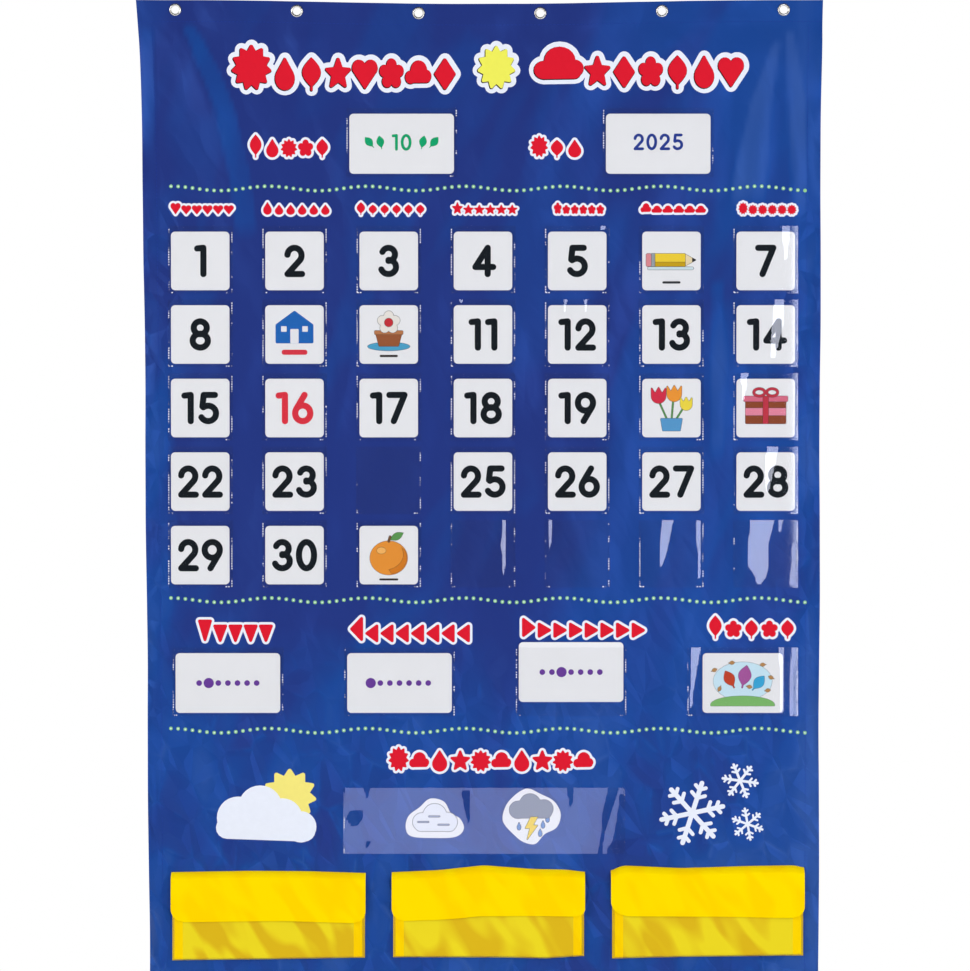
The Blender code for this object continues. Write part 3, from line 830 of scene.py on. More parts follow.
@dataclass(frozen=True)
class ClearVinyl(Finish):
    """Clear PVC film: the sheet and cards show through, and it mirrors bright things.

    Attributes:
        haze: How much of it looks like a white veil.
        head_on: Share of light that it mirrors when seen square on.
        roughness: Of its mirror-like face.
        reflects: Whether this is an outward face, which mirrors; an inner face doesn't.
    """

    haze: float = 0.002
    head_on: float = 0.07
    roughness: float = 0.03
    reflects: bool = True

    def shade(self, tree: Tree) -> Socket:
        """Mix a faint veil with clear film, and mirror more at a slant as film does.

        Args:
            tree: The material's tree.

        Returns:
            The surface's shader.
        """
        clear = add_node(tree, "ShaderNodeBsdfTransparent", {"Color": linear("#FFFFFF")})
        cloud = add_node(tree, "ShaderNodeBsdfDiffuse", {"Color": linear("#E8EAF2")})
        veil = add_node(tree, "ShaderNodeMixShader", {0: self.haze, 1: clear.outputs[0], 2: cloud.outputs[0]})
        if not self.reflects:
            return veil.outputs[0]
        # A thin film mirrors more at a slant, by about the fifth power of the angle's share.
        facing = add_node(tree, "ShaderNodeLayerWeight", {"Blend": 0.5}).outputs["Facing"]
        steep = add_node(tree, "ShaderNodeMath", {0: facing, 1: 5.0}, operation="POWER").outputs[0]
        slant = add_node(tree, "ShaderNodeMapRange", {0: steep, 3: self.head_on}).outputs[0]
        gloss = {"Color": linear("#FFFFFF"), "Roughness": self.roughness}
        mirror = add_node(tree, "ShaderNodeBsdfAnisotropic", gloss)
        film = add_node(tree, "ShaderNodeMixShader", {0: slant, 1: veil.outputs[0], 2: mirror.outputs[0]})
        return film.outputs[0]


@dataclass(frozen=True)
class WeldedVinyl(Finish):
    """Film pressed into a weld: white patches painted as the welds' glints, partly the whitening where the
    die bit, and clear elsewhere.

    Attributes:
        colour: White painted for the glints, partly the whitened vinyl.
    """

    colour: str = "#EEF1FC"

    def shade(self, tree: Tree) -> Socket:
        """Fade the painted glint white in and out along the weld.

        Args:
            tree: The material's tree.

        Returns:
            The surface's shader.
        """
        patches = pattern(tree, 13.0, stretch=1.6, detail=3.0, warp=0.8)
        levels = {0: patches, 1: 0.50, 2: 0.56, 3: 0.0, 4: 0.95}
        share = add_node(tree, "ShaderNodeMapRange", levels).outputs[0]
        clear = add_node(tree, "ShaderNodeBsdfTransparent", {"Color": linear("#FFFFFF")})
        white = add_node(tree, "ShaderNodeBsdfDiffuse", {"Color": linear(self.colour)})
        weld = add_node(tree, "ShaderNodeMixShader", {0: share, 1: clear.outputs[0], 2: white.outputs[0]})
        return weld.outputs[0]


@dataclass(frozen=True)
class PouchVinyl(Finish):
    """Supported yellow vinyl with soft slanting creases, and paler streaks of sheen painted along them.

    Attributes:
        colour: Of the vinyl.
        streak: Paler colour painted on the streaks as sheen.
        roughness: Of its face.
        streak_depth: Height of the streaks.
    """

    colour: str = "#FFD300"
    streak: str = "#FFDC00"
    roughness: float = 0.36
    streak_depth: float = 0.5

    def shade(self, tree: Tree) -> Socket:
        """Paint slanting streaks of paler sheen across the vinyl and bend it along them.

        Args:
            tree: The material's tree.

        Returns:
            The surface's shader.
        """
        streaks = pattern(tree, 19.0, stretch=3.2, turn=-32.0, detail=0.0, warp=0.6)
        share = add_node(tree, "ShaderNodeMapRange", {0: streaks, 1: 0.40, 2: 0.64}).outputs[0]
        streaked = {"Factor": share, "A": linear(self.colour), "B": linear(self.streak)}
        bump = add_node(tree, "ShaderNodeBump", {"Height": streaks, "Distance": self.streak_depth * MM})
        vinyl = {
            "Base Color": add_node(tree, "ShaderNodeMix", streaked, data_type="RGBA").outputs["Result"],
            "Normal": bump.outputs["Normal"], "IOR": PLASTIC_IOR, "Roughness": self.roughness,
            "Specular Tint": linear(self.streak),
        }
        return add_node(tree, "ShaderNodeBsdfPrincipled", vinyl).outputs["BSDF"]


NYLON = CoatedNylon("coated nylon", "coated_nylon")
THREAD = ScreenInk("sewing thread", "coated_nylon", "#24409A", 0.6)
INK_WHITE = ScreenInk("white screen ink", "coated_nylon", "#E9EDF6")
INK_RED = ScreenInk("red screen ink", "coated_nylon", "#DB1E30")
INK_DARK = ScreenInk("dark outline ink", "coated_nylon", "#2C1018")
INK_YELLOW = ScreenInk("yellow screen ink", "coated_nylon", "#F0EE5C")
INK_GREEN = ScreenInk("green dot ink", "coated_nylon", "#8FC98A")
INK_SUN = ScreenInk("pale sun ink", "coated_nylon", "#F5E77C")
NICKEL = NickelPlate("nickel plate", "nickel_plate")
FILM = ClearVinyl("clear vinyl film", "clear_vinyl")
FILM_INNER = ClearVinyl("clear vinyl film inside", "clear_vinyl", haze=0.0, reflects=False)
# White painted where the welds glint, partly the whitening of pressed vinyl.
WELD_GLINTS = WeldedVinyl("welded vinyl painted glints", "clear_vinyl")
CARD = LaminatedCard("laminated white card", "laminated_card")
FLAP = PouchVinyl("flap vinyl", "flap_vinyl")
POUCH = PouchVinyl("pouch vinyl", "pouch_vinyl", "#FACB05", "#FCD305")
# Darker olive yellow painted for the yellow back seen through hazy film: partly haze, partly painted shade;
# its paler streaks are painted sheen.
SHADED_WINDOW = PouchVinyl("hazy pouch window painted shade", "pouch_vinyl", "#DAB21C", "#EBD523", 0.26, 0.8)


def card_ink(name: str, colour: str) -> LaminatedCard:
    """Give a colour printed under a card's laminate."""
    return LaminatedCard(f"{name} card print", "laminated_card", colour)


# Pieces


def add_piece(
    name: str,
    points: np.ndarray,
    faces: Faces,
    finishes: Sequence[Finish],
    body: str | None,
    normals: np.ndarray | None = None,
    finish_of_face: Sequence[int] | None = None,
    sharp_angle: float = 35.0,
) -> bpy.types.Object:
    """Make one piece of the chart from points in millimetres.

    Args:
        name: The piece's plain name.
        points: Rows of X, Y and Z.
        faces: Corners of each face, by row.
        finishes: Finishes that the faces use.
        body: Frame body that the piece moves with, or None where it rides on no body.
        normals: Shading normal at each point, where the flat faces follow a curved surface.
        finish_of_face: Place of each face's finish in the list, where there are several.
        sharp_angle: Angle in degrees above which an edge stays crisp.

    Returns:
        The piece, riding on its body if it has one.
    """
    mesh = bpy.data.meshes.new(name)
    mesh.from_pydata((np.asarray(points) * MM).tolist(), [], faces)
    for finish in finishes:
        mesh.materials.append(finish.material())
    if finish_of_face is not None:
        mesh.polygons.foreach_set("material_index", np.array(finish_of_face, np.int32))
    mesh.shade_smooth()
    if normals is not None:
        lengths = np.linalg.norm(normals, axis=1, keepdims=True)
        mesh.normals_split_custom_set_from_vertices((normals / lengths).tolist())
    else:
        mesh.set_sharp_from_angle(angle=math.radians(sharp_angle))
    mesh.update()
    piece = bpy.data.objects.new(name, mesh)
    bpy.context.scene.collection.objects.link(piece)
    if body is not None:
        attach(piece, body)
    return piece


def grid_faces(rows: int, columns: int, first: int = 0, turned: bool = False) -> Faces:
    """List the quads of a grid of points.

    Args:
        rows: Rows of points, from the lowest up.
        columns: Points in a row, from the left.
        first: Number of the grid's first point.
        turned: Whether the faces look backwards.

    Returns:
        The quads, row by row.
    """
    faces = []
    for row in range(rows - 1):
        for column in range(columns - 1):
            corner = first + row * columns + column
            quad = (corner, corner + 1, corner + columns + 1, corner + columns)
            faces.append(quad[::-1] if turned else quad)
    return faces


def rim_faces(rows: int, columns: int, front: int, back: int) -> Faces:
    """Join the edges of a front grid and a back grid of like size.

    Args:
        rows: Rows of points in each grid.
        columns: Points in a row.
        front: Number of the front grid's first point.
        back: Number of the back grid's.

    Returns:
        The quads round the edge.
    """
    edge = list(range(columns - 1))
    edge += [row * columns + columns - 1 for row in range(rows - 1)]
    edge += [(rows - 1) * columns + column for column in range(columns - 1, 0, -1)]
    edge += [row * columns for row in range(rows - 1, 0, -1)]
    pairs = zip(edge, edge[1:] + edge[:1])
    return [(front + b, front + a, back + a, back + b) for a, b in pairs]


@dataclass
class Shell:
    """A thin closed sheet between a front grid and a back grid of points.

    Attributes:
        points: The front grid's points, then the back grid's.
        faces: The front faces, as many back faces, and the rim.
        front_count: How many faces the front has.
    """

    points: np.ndarray
    faces: Faces
    front_count: int


def make_shell(front: np.ndarray, back: np.ndarray) -> Shell:
    """Close two like grids into one thin piece.

    Args:
        front: Points of the face that is seen, as rows, columns and XYZ.
        back: Points of the face behind.

    Returns:
        The shell.
    """
    rows, columns, _ = front.shape
    count = rows * columns
    faces = grid_faces(rows, columns)
    front_count = len(faces)
    faces += grid_faces(rows, columns, count, turned=True)
    faces += rim_faces(rows, columns, 0, count)
    points = np.concatenate([front.reshape(-1, 3), back.reshape(-1, 3)])
    return Shell(points, faces, front_count)


class Surface(Protocol):
    """Something that flat shapes are printed on.

    Attributes:
        cell: Size of the squares that a print is cut into to bend with it, or None where it is flat.
    """

    cell: float | None

    def lift(self, spots: np.ndarray, height: float) -> np.ndarray:
        """Put flat spots on the surface, this far in front of it."""

    def normals(self, spots: np.ndarray) -> np.ndarray:
        """Give the surface's normal at each spot."""


def print_shape(
    name: str, outlines: Iterable[Outline], surface: Surface, height: float, finish: Finish, body: str,
    grow: float = 0.0,
) -> bpy.types.Object:
    """Print a flat shape on a surface.

    Args:
        name: The print's plain name.
        outlines: The shape's lines.
        surface: What it is printed on.
        height: How far in front of the surface the layer lies.
        finish: The ink.
        body: Frame body that the print moves with.
        grow: How far the shape's edge moves out.

    Returns:
        The printed piece.
    """
    bm = merged(outlines, grow)
    if surface.cell:
        slice_cells(bm, surface.cell)
    bm.verts.index_update()
    spots = np.array([(vert.co.x, vert.co.y) for vert in bm.verts])
    faces = [tuple(vert.index for vert in face.verts) for face in bm.faces]
    bm.free()
    return add_piece(name, surface.lift(spots, height), faces, [finish], body, surface.normals(spots))


# The sheet


@dataclass(frozen=True)
class SheetForm:
    """How the sheet hangs: its edges, its sag, and the folds that stand out of its plane.

    Its edges and main folds are those of the frame's own sheet. The smaller ones die away under
    the pockets, cards and pouches, which need the sheet flat.

    Attributes:
        thickness: Of the coated cloth.
        hem_depth: Depth of the top hem.
        side_hem: Width of the side hems.
        hem_rise: How far the hems' folded cloth stands out.
        sag: How far the sheet hangs down midway between the end eyelets.
        sag_depth: How far down the sag has died away.
        flat_border: Flat strip beside the pocket field.
        left_margin: Width of the left margin at the top and at the foot.
        right_margin: Width of the right one.
        left_pull: How far the left end eyelet pulls the edge out.
        right_pull: How far the right one does.
        pull_depth: How far down the pull dies away.
        side_curl: Height of the ripple along the side edges.
        side_ripple: Its length.
        fold_height: Height of a main fold.
        fold_width: Its width.
        bottom_curl: Height of the roll at the foot.
        bottom_reach: How far above the foot the roll starts.
        even_curl_share: Share of the roll that is the same all along.
        small_fold: Height of the lesser folds.
        calm_border: Flat strip round all that lies on the sheet.
        calm_reach: Over how much more the lesser folds reach their height.
        cell: Size of the grid's cells.
    """

    thickness: float = 0.6
    hem_depth: float = 25.0
    side_hem: float = 16.5
    hem_rise: float = 0.35
    sag: float = 4.3
    sag_depth: float = 117.5
    flat_border: float = 7.0
    left_margin: Point = (28.2, 19.5)
    right_margin: Point = (25.0, 22.0)
    left_pull: float = 6.5
    right_pull: float = 2.1
    pull_depth: float = 85.0
    side_curl: float = 4.0
    side_ripple: float = 310.0
    fold_height: float = 4.2
    fold_width: float = 26.0
    bottom_curl: float = 3.0
    bottom_reach: float = 28.0
    even_curl_share: float = 0.6
    small_fold: float = 1.3
    calm_border: float = 3.0
    calm_reach: float = 22.0
    cell: float = 4.5

    @property
    def field(self) -> tuple[float, float]:
        """Left and right edges of the pocket field."""
        low, high = box_mm("date_pocket_row_1")
        return low[0], high[0]

    @property
    def span(self) -> tuple[float, float]:
        """Lowest and highest points of the sheet."""
        low, high = box_mm("backing_sheet")
        return low[2], high[2]

    def margin(self, z: np.ndarray, ends: Point, pull: float) -> np.ndarray:
        """Give how far the sheet reaches past the field at each height.

        Args:
            z: Places up the sheet.
            ends: The margin's width at the top and at the foot.
            pull: How far the end eyelet pulls the edge out.

        Returns:
            The margin's width at each place.
        """
        bottom, top = self.span
        depth = top - z
        straight = ends[0] + (ends[1] - ends[0]) * depth / (top - bottom)
        return straight + pull * np.exp(-depth / self.pull_depth)

    def left(self, z: np.ndarray) -> np.ndarray:
        """Give the sheet's left edge at each height."""
        return self.field[0] - self.margin(z, self.left_margin, self.left_pull)

    def right(self, z: np.ndarray) -> np.ndarray:
        """Give the sheet's right edge at each height."""
        return self.field[1] + self.margin(z, self.right_margin, self.right_pull)

    def droop(self, x: np.ndarray, z: np.ndarray) -> np.ndarray:
        """Give how far the sheet sags between the end eyelets.

        Args:
            x: Places across the sheet.
            z: Places up the sheet.

        Returns:
            The sag at each place.
        """
        half_span = eyelet_spots()[-1][0]
        share = np.minimum(np.abs(x) / half_span, 1.0)
        fade = 1 - ease((self.span[1] - z) / self.sag_depth)
        return self.sag * np.cos(share * math.pi / 2) ** 2 * fade


SHEET = SheetForm()


@cache
def eyelet_spots() -> list[Point]:
    """List the middles of the six eyelets across and up the sheet.

    Returns:
        X and Z of each, from the left.
    """
    spots = []
    for index in range(6):
        low, high = box_mm(f"eyelet_{index + 1}")
        spots.append(((low[0] + high[0]) / 2, (low[2] + high[2]) / 2))
    return spots


@dataclass(frozen=True)
class PocketPlan:
    """Outlines of the pockets, as the frame holds them.

    Attributes:
        date_columns: Pockets in a row of dates.
        date_rows: Rows of dates.
        date_width: Width of a date's pocket.
        day_pockets: Pockets in the row for the days and the season.
        day_width: Width of one.
    """

    date_columns: int = 7
    date_rows: int = 5
    date_width: float = 70.5
    day_pockets: int = 4
    day_width: float = 120.5

    def row_of(self, node: str, count: int, width: float) -> list[Edges]:
        """List the pockets of one film strip as left, right, bottom and top.

        Args:
            node: The strip's node.
            count: How many pockets it has.
            width: Width of one.

        Returns:
            The pockets from the left.
        """
        low, high = box_mm(node)
        pitch = (high[0] - low[0] - width) / (count - 1) if count > 1 else 0.0
        lefts = [low[0] + pitch * index for index in range(count)]
        return [(left, left + width, low[2], high[2]) for left in lefts]

    def strips(self) -> dict[str, list[Edges]]:
        """Give every strip's pockets by its node's name.

        Returns:
            The pockets of each strip.
        """
        found = {}
        for row in range(self.date_rows):
            name = f"date_pocket_row_{row + 1}"
            found[name] = self.row_of(name, self.date_columns, self.date_width)
        found["day_pocket_row"] = self.row_of("day_pocket_row", self.day_pockets, self.day_width)
        for name in ("month_pocket", "year_pocket", "weather_pocket"):
            found[name] = [edges_of(name)]
        return found


POCKETS = PocketPlan()


@dataclass(frozen=True)
class Fold:
    """A main fold in the sheet's header.

    Attributes:
        start: Its upper end, as shares of the field's width and of the header's depth.
        end: Its lower end.
        width: Share of the usual width.
        height: Share of the usual height.
    """

    start: Point
    end: Point
    width: float
    height: float


HEADER_FOLDS = (
    Fold((0.020, 0.10), (0.125, 0.80), width=1.0, height=1.0),
    Fold((0.955, 0.10), (0.915, 0.95), width=1.0, height=0.9),
    Fold((0.985, 0.12), (1.000, 0.95), width=0.8, height=0.8),
    Fold((0.950, 0.12), (0.850, 0.42), width=1.1, height=0.5),
)


@dataclass(frozen=True)
class Streak:
    """A band of painted highlight along a fold or an edge.

    Attributes:
        strength: What it adds to the painted sheen.
        line: Heights from the lowest, with the streak's middle and half width there.
        soft: Width over which its sides fade.
    """

    strength: float
    line: tuple[tuple[float, float, float], ...]
    soft: float = 6.0

    def wear(self, x: np.ndarray, z: np.ndarray) -> np.ndarray:
        """Give the painted sheen that the streak adds.

        Args:
            x: Places across the sheet.
            z: Places up the sheet.

        Returns:
            What it adds at each place.
        """
        heights, middles, halves = zip(*self.line)
        aside = np.abs(x - np.interp(z, heights, middles)) - np.interp(z, heights, halves)
        ends = ease((z - heights[0]) / (6 * self.soft)) * ease((heights[-1] - z) / (2 * self.soft))
        return self.strength * (ends * ease(0.5 - aside / self.soft))


# Light bands painted along the folds and edges.
SHEEN_STREAKS = (
    # Below the left end eyelet, below the right one, and down the right edge beside it.
    Streak(0.95, (
        (-262.0, -250.0, 12.0), (-177.0, -260.0, 13.0), (-108.0, -276.0, 11.0), (-61.0, -295.0, 11.0),
        (-12.0, -318.0, 6.0),
    )),
    Streak(0.9, ((-225.0, 291.0, 17.0), (-180.0, 294.0, 18.0), (-98.0, 306.0, 11.0), (-30.0, 324.0, 3.0))),
    Streak(0.9, ((-235.0, 348.0, 6.0), (-180.0, 347.0, 8.0), (-98.0, 344.0, 9.0), (-18.0, 336.0, 4.0))),
    # Down the left edge, between the last two columns, and down the rest of the right edge.
    Streak(0.4, ((-215.0, -358.0, 6.0), (-16.0, -360.0, 7.0))),
    Streak(0.7, ((-500.0, 258.0, 7.0), (-380.0, 260.0, 8.0), (-290.0, 259.0, 6.0))),
    Streak(0.3, ((-1060.0, 364.0, 5.0), (-600.0, 357.0, 5.0), (-260.0, 358.0, 4.0))),
)


def outside(x: np.ndarray, z: np.ndarray, edges: Edges) -> tuple[np.ndarray, np.ndarray]:
    """Give how far spots lie beside a rectangle, and how far above or below it.

    Args:
        x: Places across the sheet.
        z: Places up the sheet.
        edges: The rectangle's edges.

    Returns:
        Both distances, each 0 where the spot is level with the rectangle.
    """
    left, right, bottom, top = edges
    aside = np.maximum(np.maximum(left - x, x - right), 0)
    return aside, np.maximum(np.maximum(bottom - z, z - top), 0)


class SheetFace:
    """The sheet's printed face, with every fold in it."""

    cell: float | None = SHEET.cell

    def __init__(self, form: SheetForm, pockets: PocketPlan) -> None:
        """Note which areas lie flat.

        Args:
            form: How the sheet hangs.
            pockets: The pockets that lie on it.
        """
        self.form = form
        self.flat_areas = [edges for strip in pockets.strips().values() for edges in strip]
        self.flat_areas += [edges_of(f"storage_pouch_{index + 1}") for index in range(3)]
        reach = 9.0
        self.flat_areas += [(x - reach, x + reach, z - reach, z + reach) for x, z in eyelet_spots()]

    def calm(self, x: np.ndarray, z: np.ndarray) -> np.ndarray:
        """Give 0 where something lies on the sheet, easing to 1 away from it.

        Args:
            x: Places across the sheet.
            z: Places up the sheet.

        Returns:
            The share at each place.
        """
        nearest = np.full(np.shape(x), np.inf)
        for edges in self.flat_areas:
            nearest = np.minimum(nearest, np.hypot(*outside(x, z, edges)))
        return ease((nearest - self.form.calm_border) / self.form.calm_reach)

    def header_freedom(self, x: np.ndarray, z: np.ndarray) -> np.ndarray:
        """Give 0 on and beside the month and year pockets, easing to 1 a fold's width away.

        Args:
            x: Places across the sheet.
            z: Places up the sheet.

        Returns:
            The share at each place.
        """
        form = self.form
        freedom = np.ones(np.shape(x))
        for name in ("month_pocket", "year_pocket"):
            distance = np.maximum(*outside(x, z, edges_of(name)))
            freedom = np.minimum(freedom, ease((distance - form.flat_border) / form.fold_width))
        return freedom

    def fan_folds(self, x: np.ndarray, z: np.ndarray) -> np.ndarray:
        """Give the main folds that fan out below the end eyelets.

        Args:
            x: Places across the sheet.
            z: Places up the sheet.

        Returns:
            How far the face stands out at each place.
        """
        form = self.form
        left, right = form.field
        top = form.span[1]
        depth = top - box_mm("date_pocket_row_1")[1][2]
        rise = np.zeros(np.shape(x))
        for fold in HEADER_FOLDS:
            first = np.array((left + fold.start[0] * (right - left), top - fold.start[1] * depth))
            along = np.array((left + fold.end[0] * (right - left), top - fold.end[1] * depth)) - first
            length = np.hypot(*along)
            share = ((x - first[0]) * along[0] + (z - first[1]) * along[1]) / length ** 2
            aside = (along[0] * (z - first[1]) - along[1] * (x - first[0])) / length
            crest = np.sin(math.pi * np.clip(share, 0, 1))
            rise += form.fold_height * fold.height * crest * bell(aside, form.fold_width * fold.width / 2)
        return rise * self.header_freedom(x, z)

    def side_curl(self, x: np.ndarray, z: np.ndarray) -> np.ndarray:
        """Give the forward ripple of the free side margins.

        Args:
            x: Places across the sheet.
            z: Places up the sheet.

        Returns:
            How far the face stands out at each place.
        """
        form = self.form
        rise = np.zeros(np.shape(x))
        sides = (
            (form.field[0] - form.flat_border - x, form.field[0] - form.left(z), 0.0),
            (x - form.field[1] - form.flat_border, form.right(z) - form.field[1], math.pi / 2),
        )
        for reach, edge, phase in sides:
            share = np.clip(reach / (edge - form.flat_border), 0, None)
            wave = np.sin(2 * math.pi * z / form.side_ripple + phase)
            below_hem = ease((form.span[1] - form.hem_depth - z) / form.hem_depth)
            rise += form.side_curl * wave * share * share * below_hem
        return rise

    def foot_curl(self, x: np.ndarray, z: np.ndarray) -> np.ndarray:
        """Give the gentle forward roll of the free bottom edge.

        Args:
            x: Places across the sheet.
            z: Places up the sheet.

        Returns:
            How far the face stands out at each place.
        """
        form = self.form
        share = np.clip((form.span[0] + form.bottom_reach - z) / form.bottom_reach, 0, None)
        pitch = edges_of("storage_pouch_2")[0] - edges_of("storage_pouch_1")[0]
        wave = np.cos(2 * math.pi * x / pitch)
        strength = form.even_curl_share + (1 - form.even_curl_share) * wave
        return form.bottom_curl * strength * share * share

    def small_folds(self, x: np.ndarray, z: np.ndarray) -> np.ndarray:
        """Give the lesser folds: drapes below the eyelets, and buckles between the pockets.

        Args:
            x: Places across the sheet.
            z: Places up the sheet.

        Returns:
            How far the face stands out at each place.
        """
        form = self.form
        depth = form.span[1] - z
        rise = np.zeros(np.shape(x))
        drape_width, drape_depth = 15.0, 70.0
        for index, (spot, _) in enumerate(eyelet_spots()):
            lean = 0.25 * math.sin(2.1 * index)
            along = bell(depth - drape_depth * 0.6, drape_depth / 2)
            rise += along * bell(x - spot - lean * depth, drape_width) * (0.8 + 0.3 * math.cos(1.7 * index))
        buckle_length = 96.0
        rise += 0.35 * np.sin(2 * math.pi * (z + 0.55 * x) / buckle_length + 2.2 * np.sin(x / buckle_length))
        rise += 0.30 * np.sin(2 * math.pi * (z - 0.8 * x) / (buckle_length * 1.7) + 1.3)
        return form.small_fold * rise * self.calm(x, z)

    def pouch_buckles(self, x: np.ndarray, z: np.ndarray) -> np.ndarray:
        """Give the short creases that the pouches' welds pull into the sheet below them.

        Args:
            x: Places across the sheet.
            z: Places up the sheet.

        Returns:
            How far the face stands out at each place.
        """
        drop, spread, ruck, slant = 14.0, 9.0, 21.0, 33.0
        below = bell(z - box_mm("storage_pouch_2")[0][2] + drop, spread)
        waves = np.sin(2 * math.pi * x / ruck + 1.7 * np.sin(x / 37.0))
        waves = waves + 0.6 * np.sin(2 * math.pi * (x + z) / slant)
        return np.abs(waves) ** 0.8 * below * self.calm(x, z)

    def wear(self, x: np.ndarray, z: np.ndarray) -> np.ndarray:
        """Give how much sheen is painted on the cloth: at 1 it takes the sheen colour, and at 2 the palest.

        Args:
            x: Places across the sheet.
            z: Places up the sheet.

        Returns:
            The painted sheen at each place.
        """
        # Painted sheen over the lower part, the right side and both edges, then along the fold bands.
        # Each area starts at a place on the sheet and reaches its strength over a width.
        lower = ease((-z - 540.0) / 260.0)
        right = ease((x - 10.0) / 330.0)
        left_edge = ease((-x - 318.0) / 26.0) * ease((-z - 330.0) / 120.0)
        right_edge = ease((x - 340.0) / 10.0)
        total = 0.85 * np.maximum(lower, left_edge) + 0.65 * right * (1 - 0.5 * lower) + 0.30 * right_edge
        for streak in SHEEN_STREAKS:
            total += streak.wear(x, z)
        return total

    def crumple(self, x: np.ndarray, z: np.ndarray) -> np.ndarray:
        """Give how crumpled the sheet is: most round the pouches, and a little down its sides.

        Args:
            x: Places across the sheet.
            z: Places up the sheet.

        Returns:
            The share at each place.
        """
        low = ease((-z - 640.0) / 260.0)
        sides = ease((np.abs(x) - 300.0) / 60.0) * ease((-z - 180.0) / 80.0)
        return 0.08 + np.maximum(0.92 * low, 0.5 * sides)

    def hems(self, x: np.ndarray, z: np.ndarray) -> np.ndarray:
        """Give the extra thickness of the folded hems.

        Args:
            x: Places across the sheet.
            z: Places up the sheet.

        Returns:
            The extra thickness at each place.
        """
        form = self.form
        edge = np.minimum(x - form.left(z), form.right(z) - x)
        soft = 1.4
        side = 1 - ease((edge - form.side_hem + soft) / (2 * soft))
        top = 1 - ease((form.span[1] - z - form.hem_depth + soft) / (2 * soft))
        return form.hem_rise * np.maximum(side, top)

    def rise(self, x: np.ndarray, z: np.ndarray) -> np.ndarray:
        """Give how far the sheet's face stands in front of its flat place."""
        folds = self.fan_folds(x, z) + self.side_curl(x, z) + self.foot_curl(x, z)
        return folds + self.small_folds(x, z) + self.pouch_buckles(x, z)

    def front(self, x: np.ndarray, z: np.ndarray) -> np.ndarray:
        """Give the Y of the sheet's face, hems and all."""
        hem = self.hems(x, z) * self.calm(x, z)
        return -(self.form.thickness + self.rise(x, z) + hem)

    def lift(self, spots: np.ndarray, height: float) -> np.ndarray:
        """Put flat spots on the sheet's face, this far in front of it.

        Args:
            spots: Rows of X and Z.
            height: How far in front of the face.

        Returns:
            Rows of X, Y and Z.
        """
        x, z = spots[:, 0], spots[:, 1]
        unsagged = z + self.form.droop(x, z)
        return np.stack([x, self.front(x, unsagged) - height, z], axis=1)

    def normals(self, spots: np.ndarray) -> np.ndarray:
        """Give the face's normal at each spot.

        Args:
            spots: Rows of X and Z.

        Returns:
            A unit normal for each.
        """
        x, z = spots[:, 0], spots[:, 1] + self.form.droop(spots[:, 0], spots[:, 1])
        step = 1.0
        slope_x = (self.front(x + step, z) - self.front(x - step, z)) / (2 * step)
        slope_z = (self.front(x, z + step) - self.front(x, z - step)) / (2 * step)
        normals = np.stack([slope_x, -np.ones(len(x)), slope_z], axis=1)
        return normals / np.linalg.norm(normals, axis=1, keepdims=True)


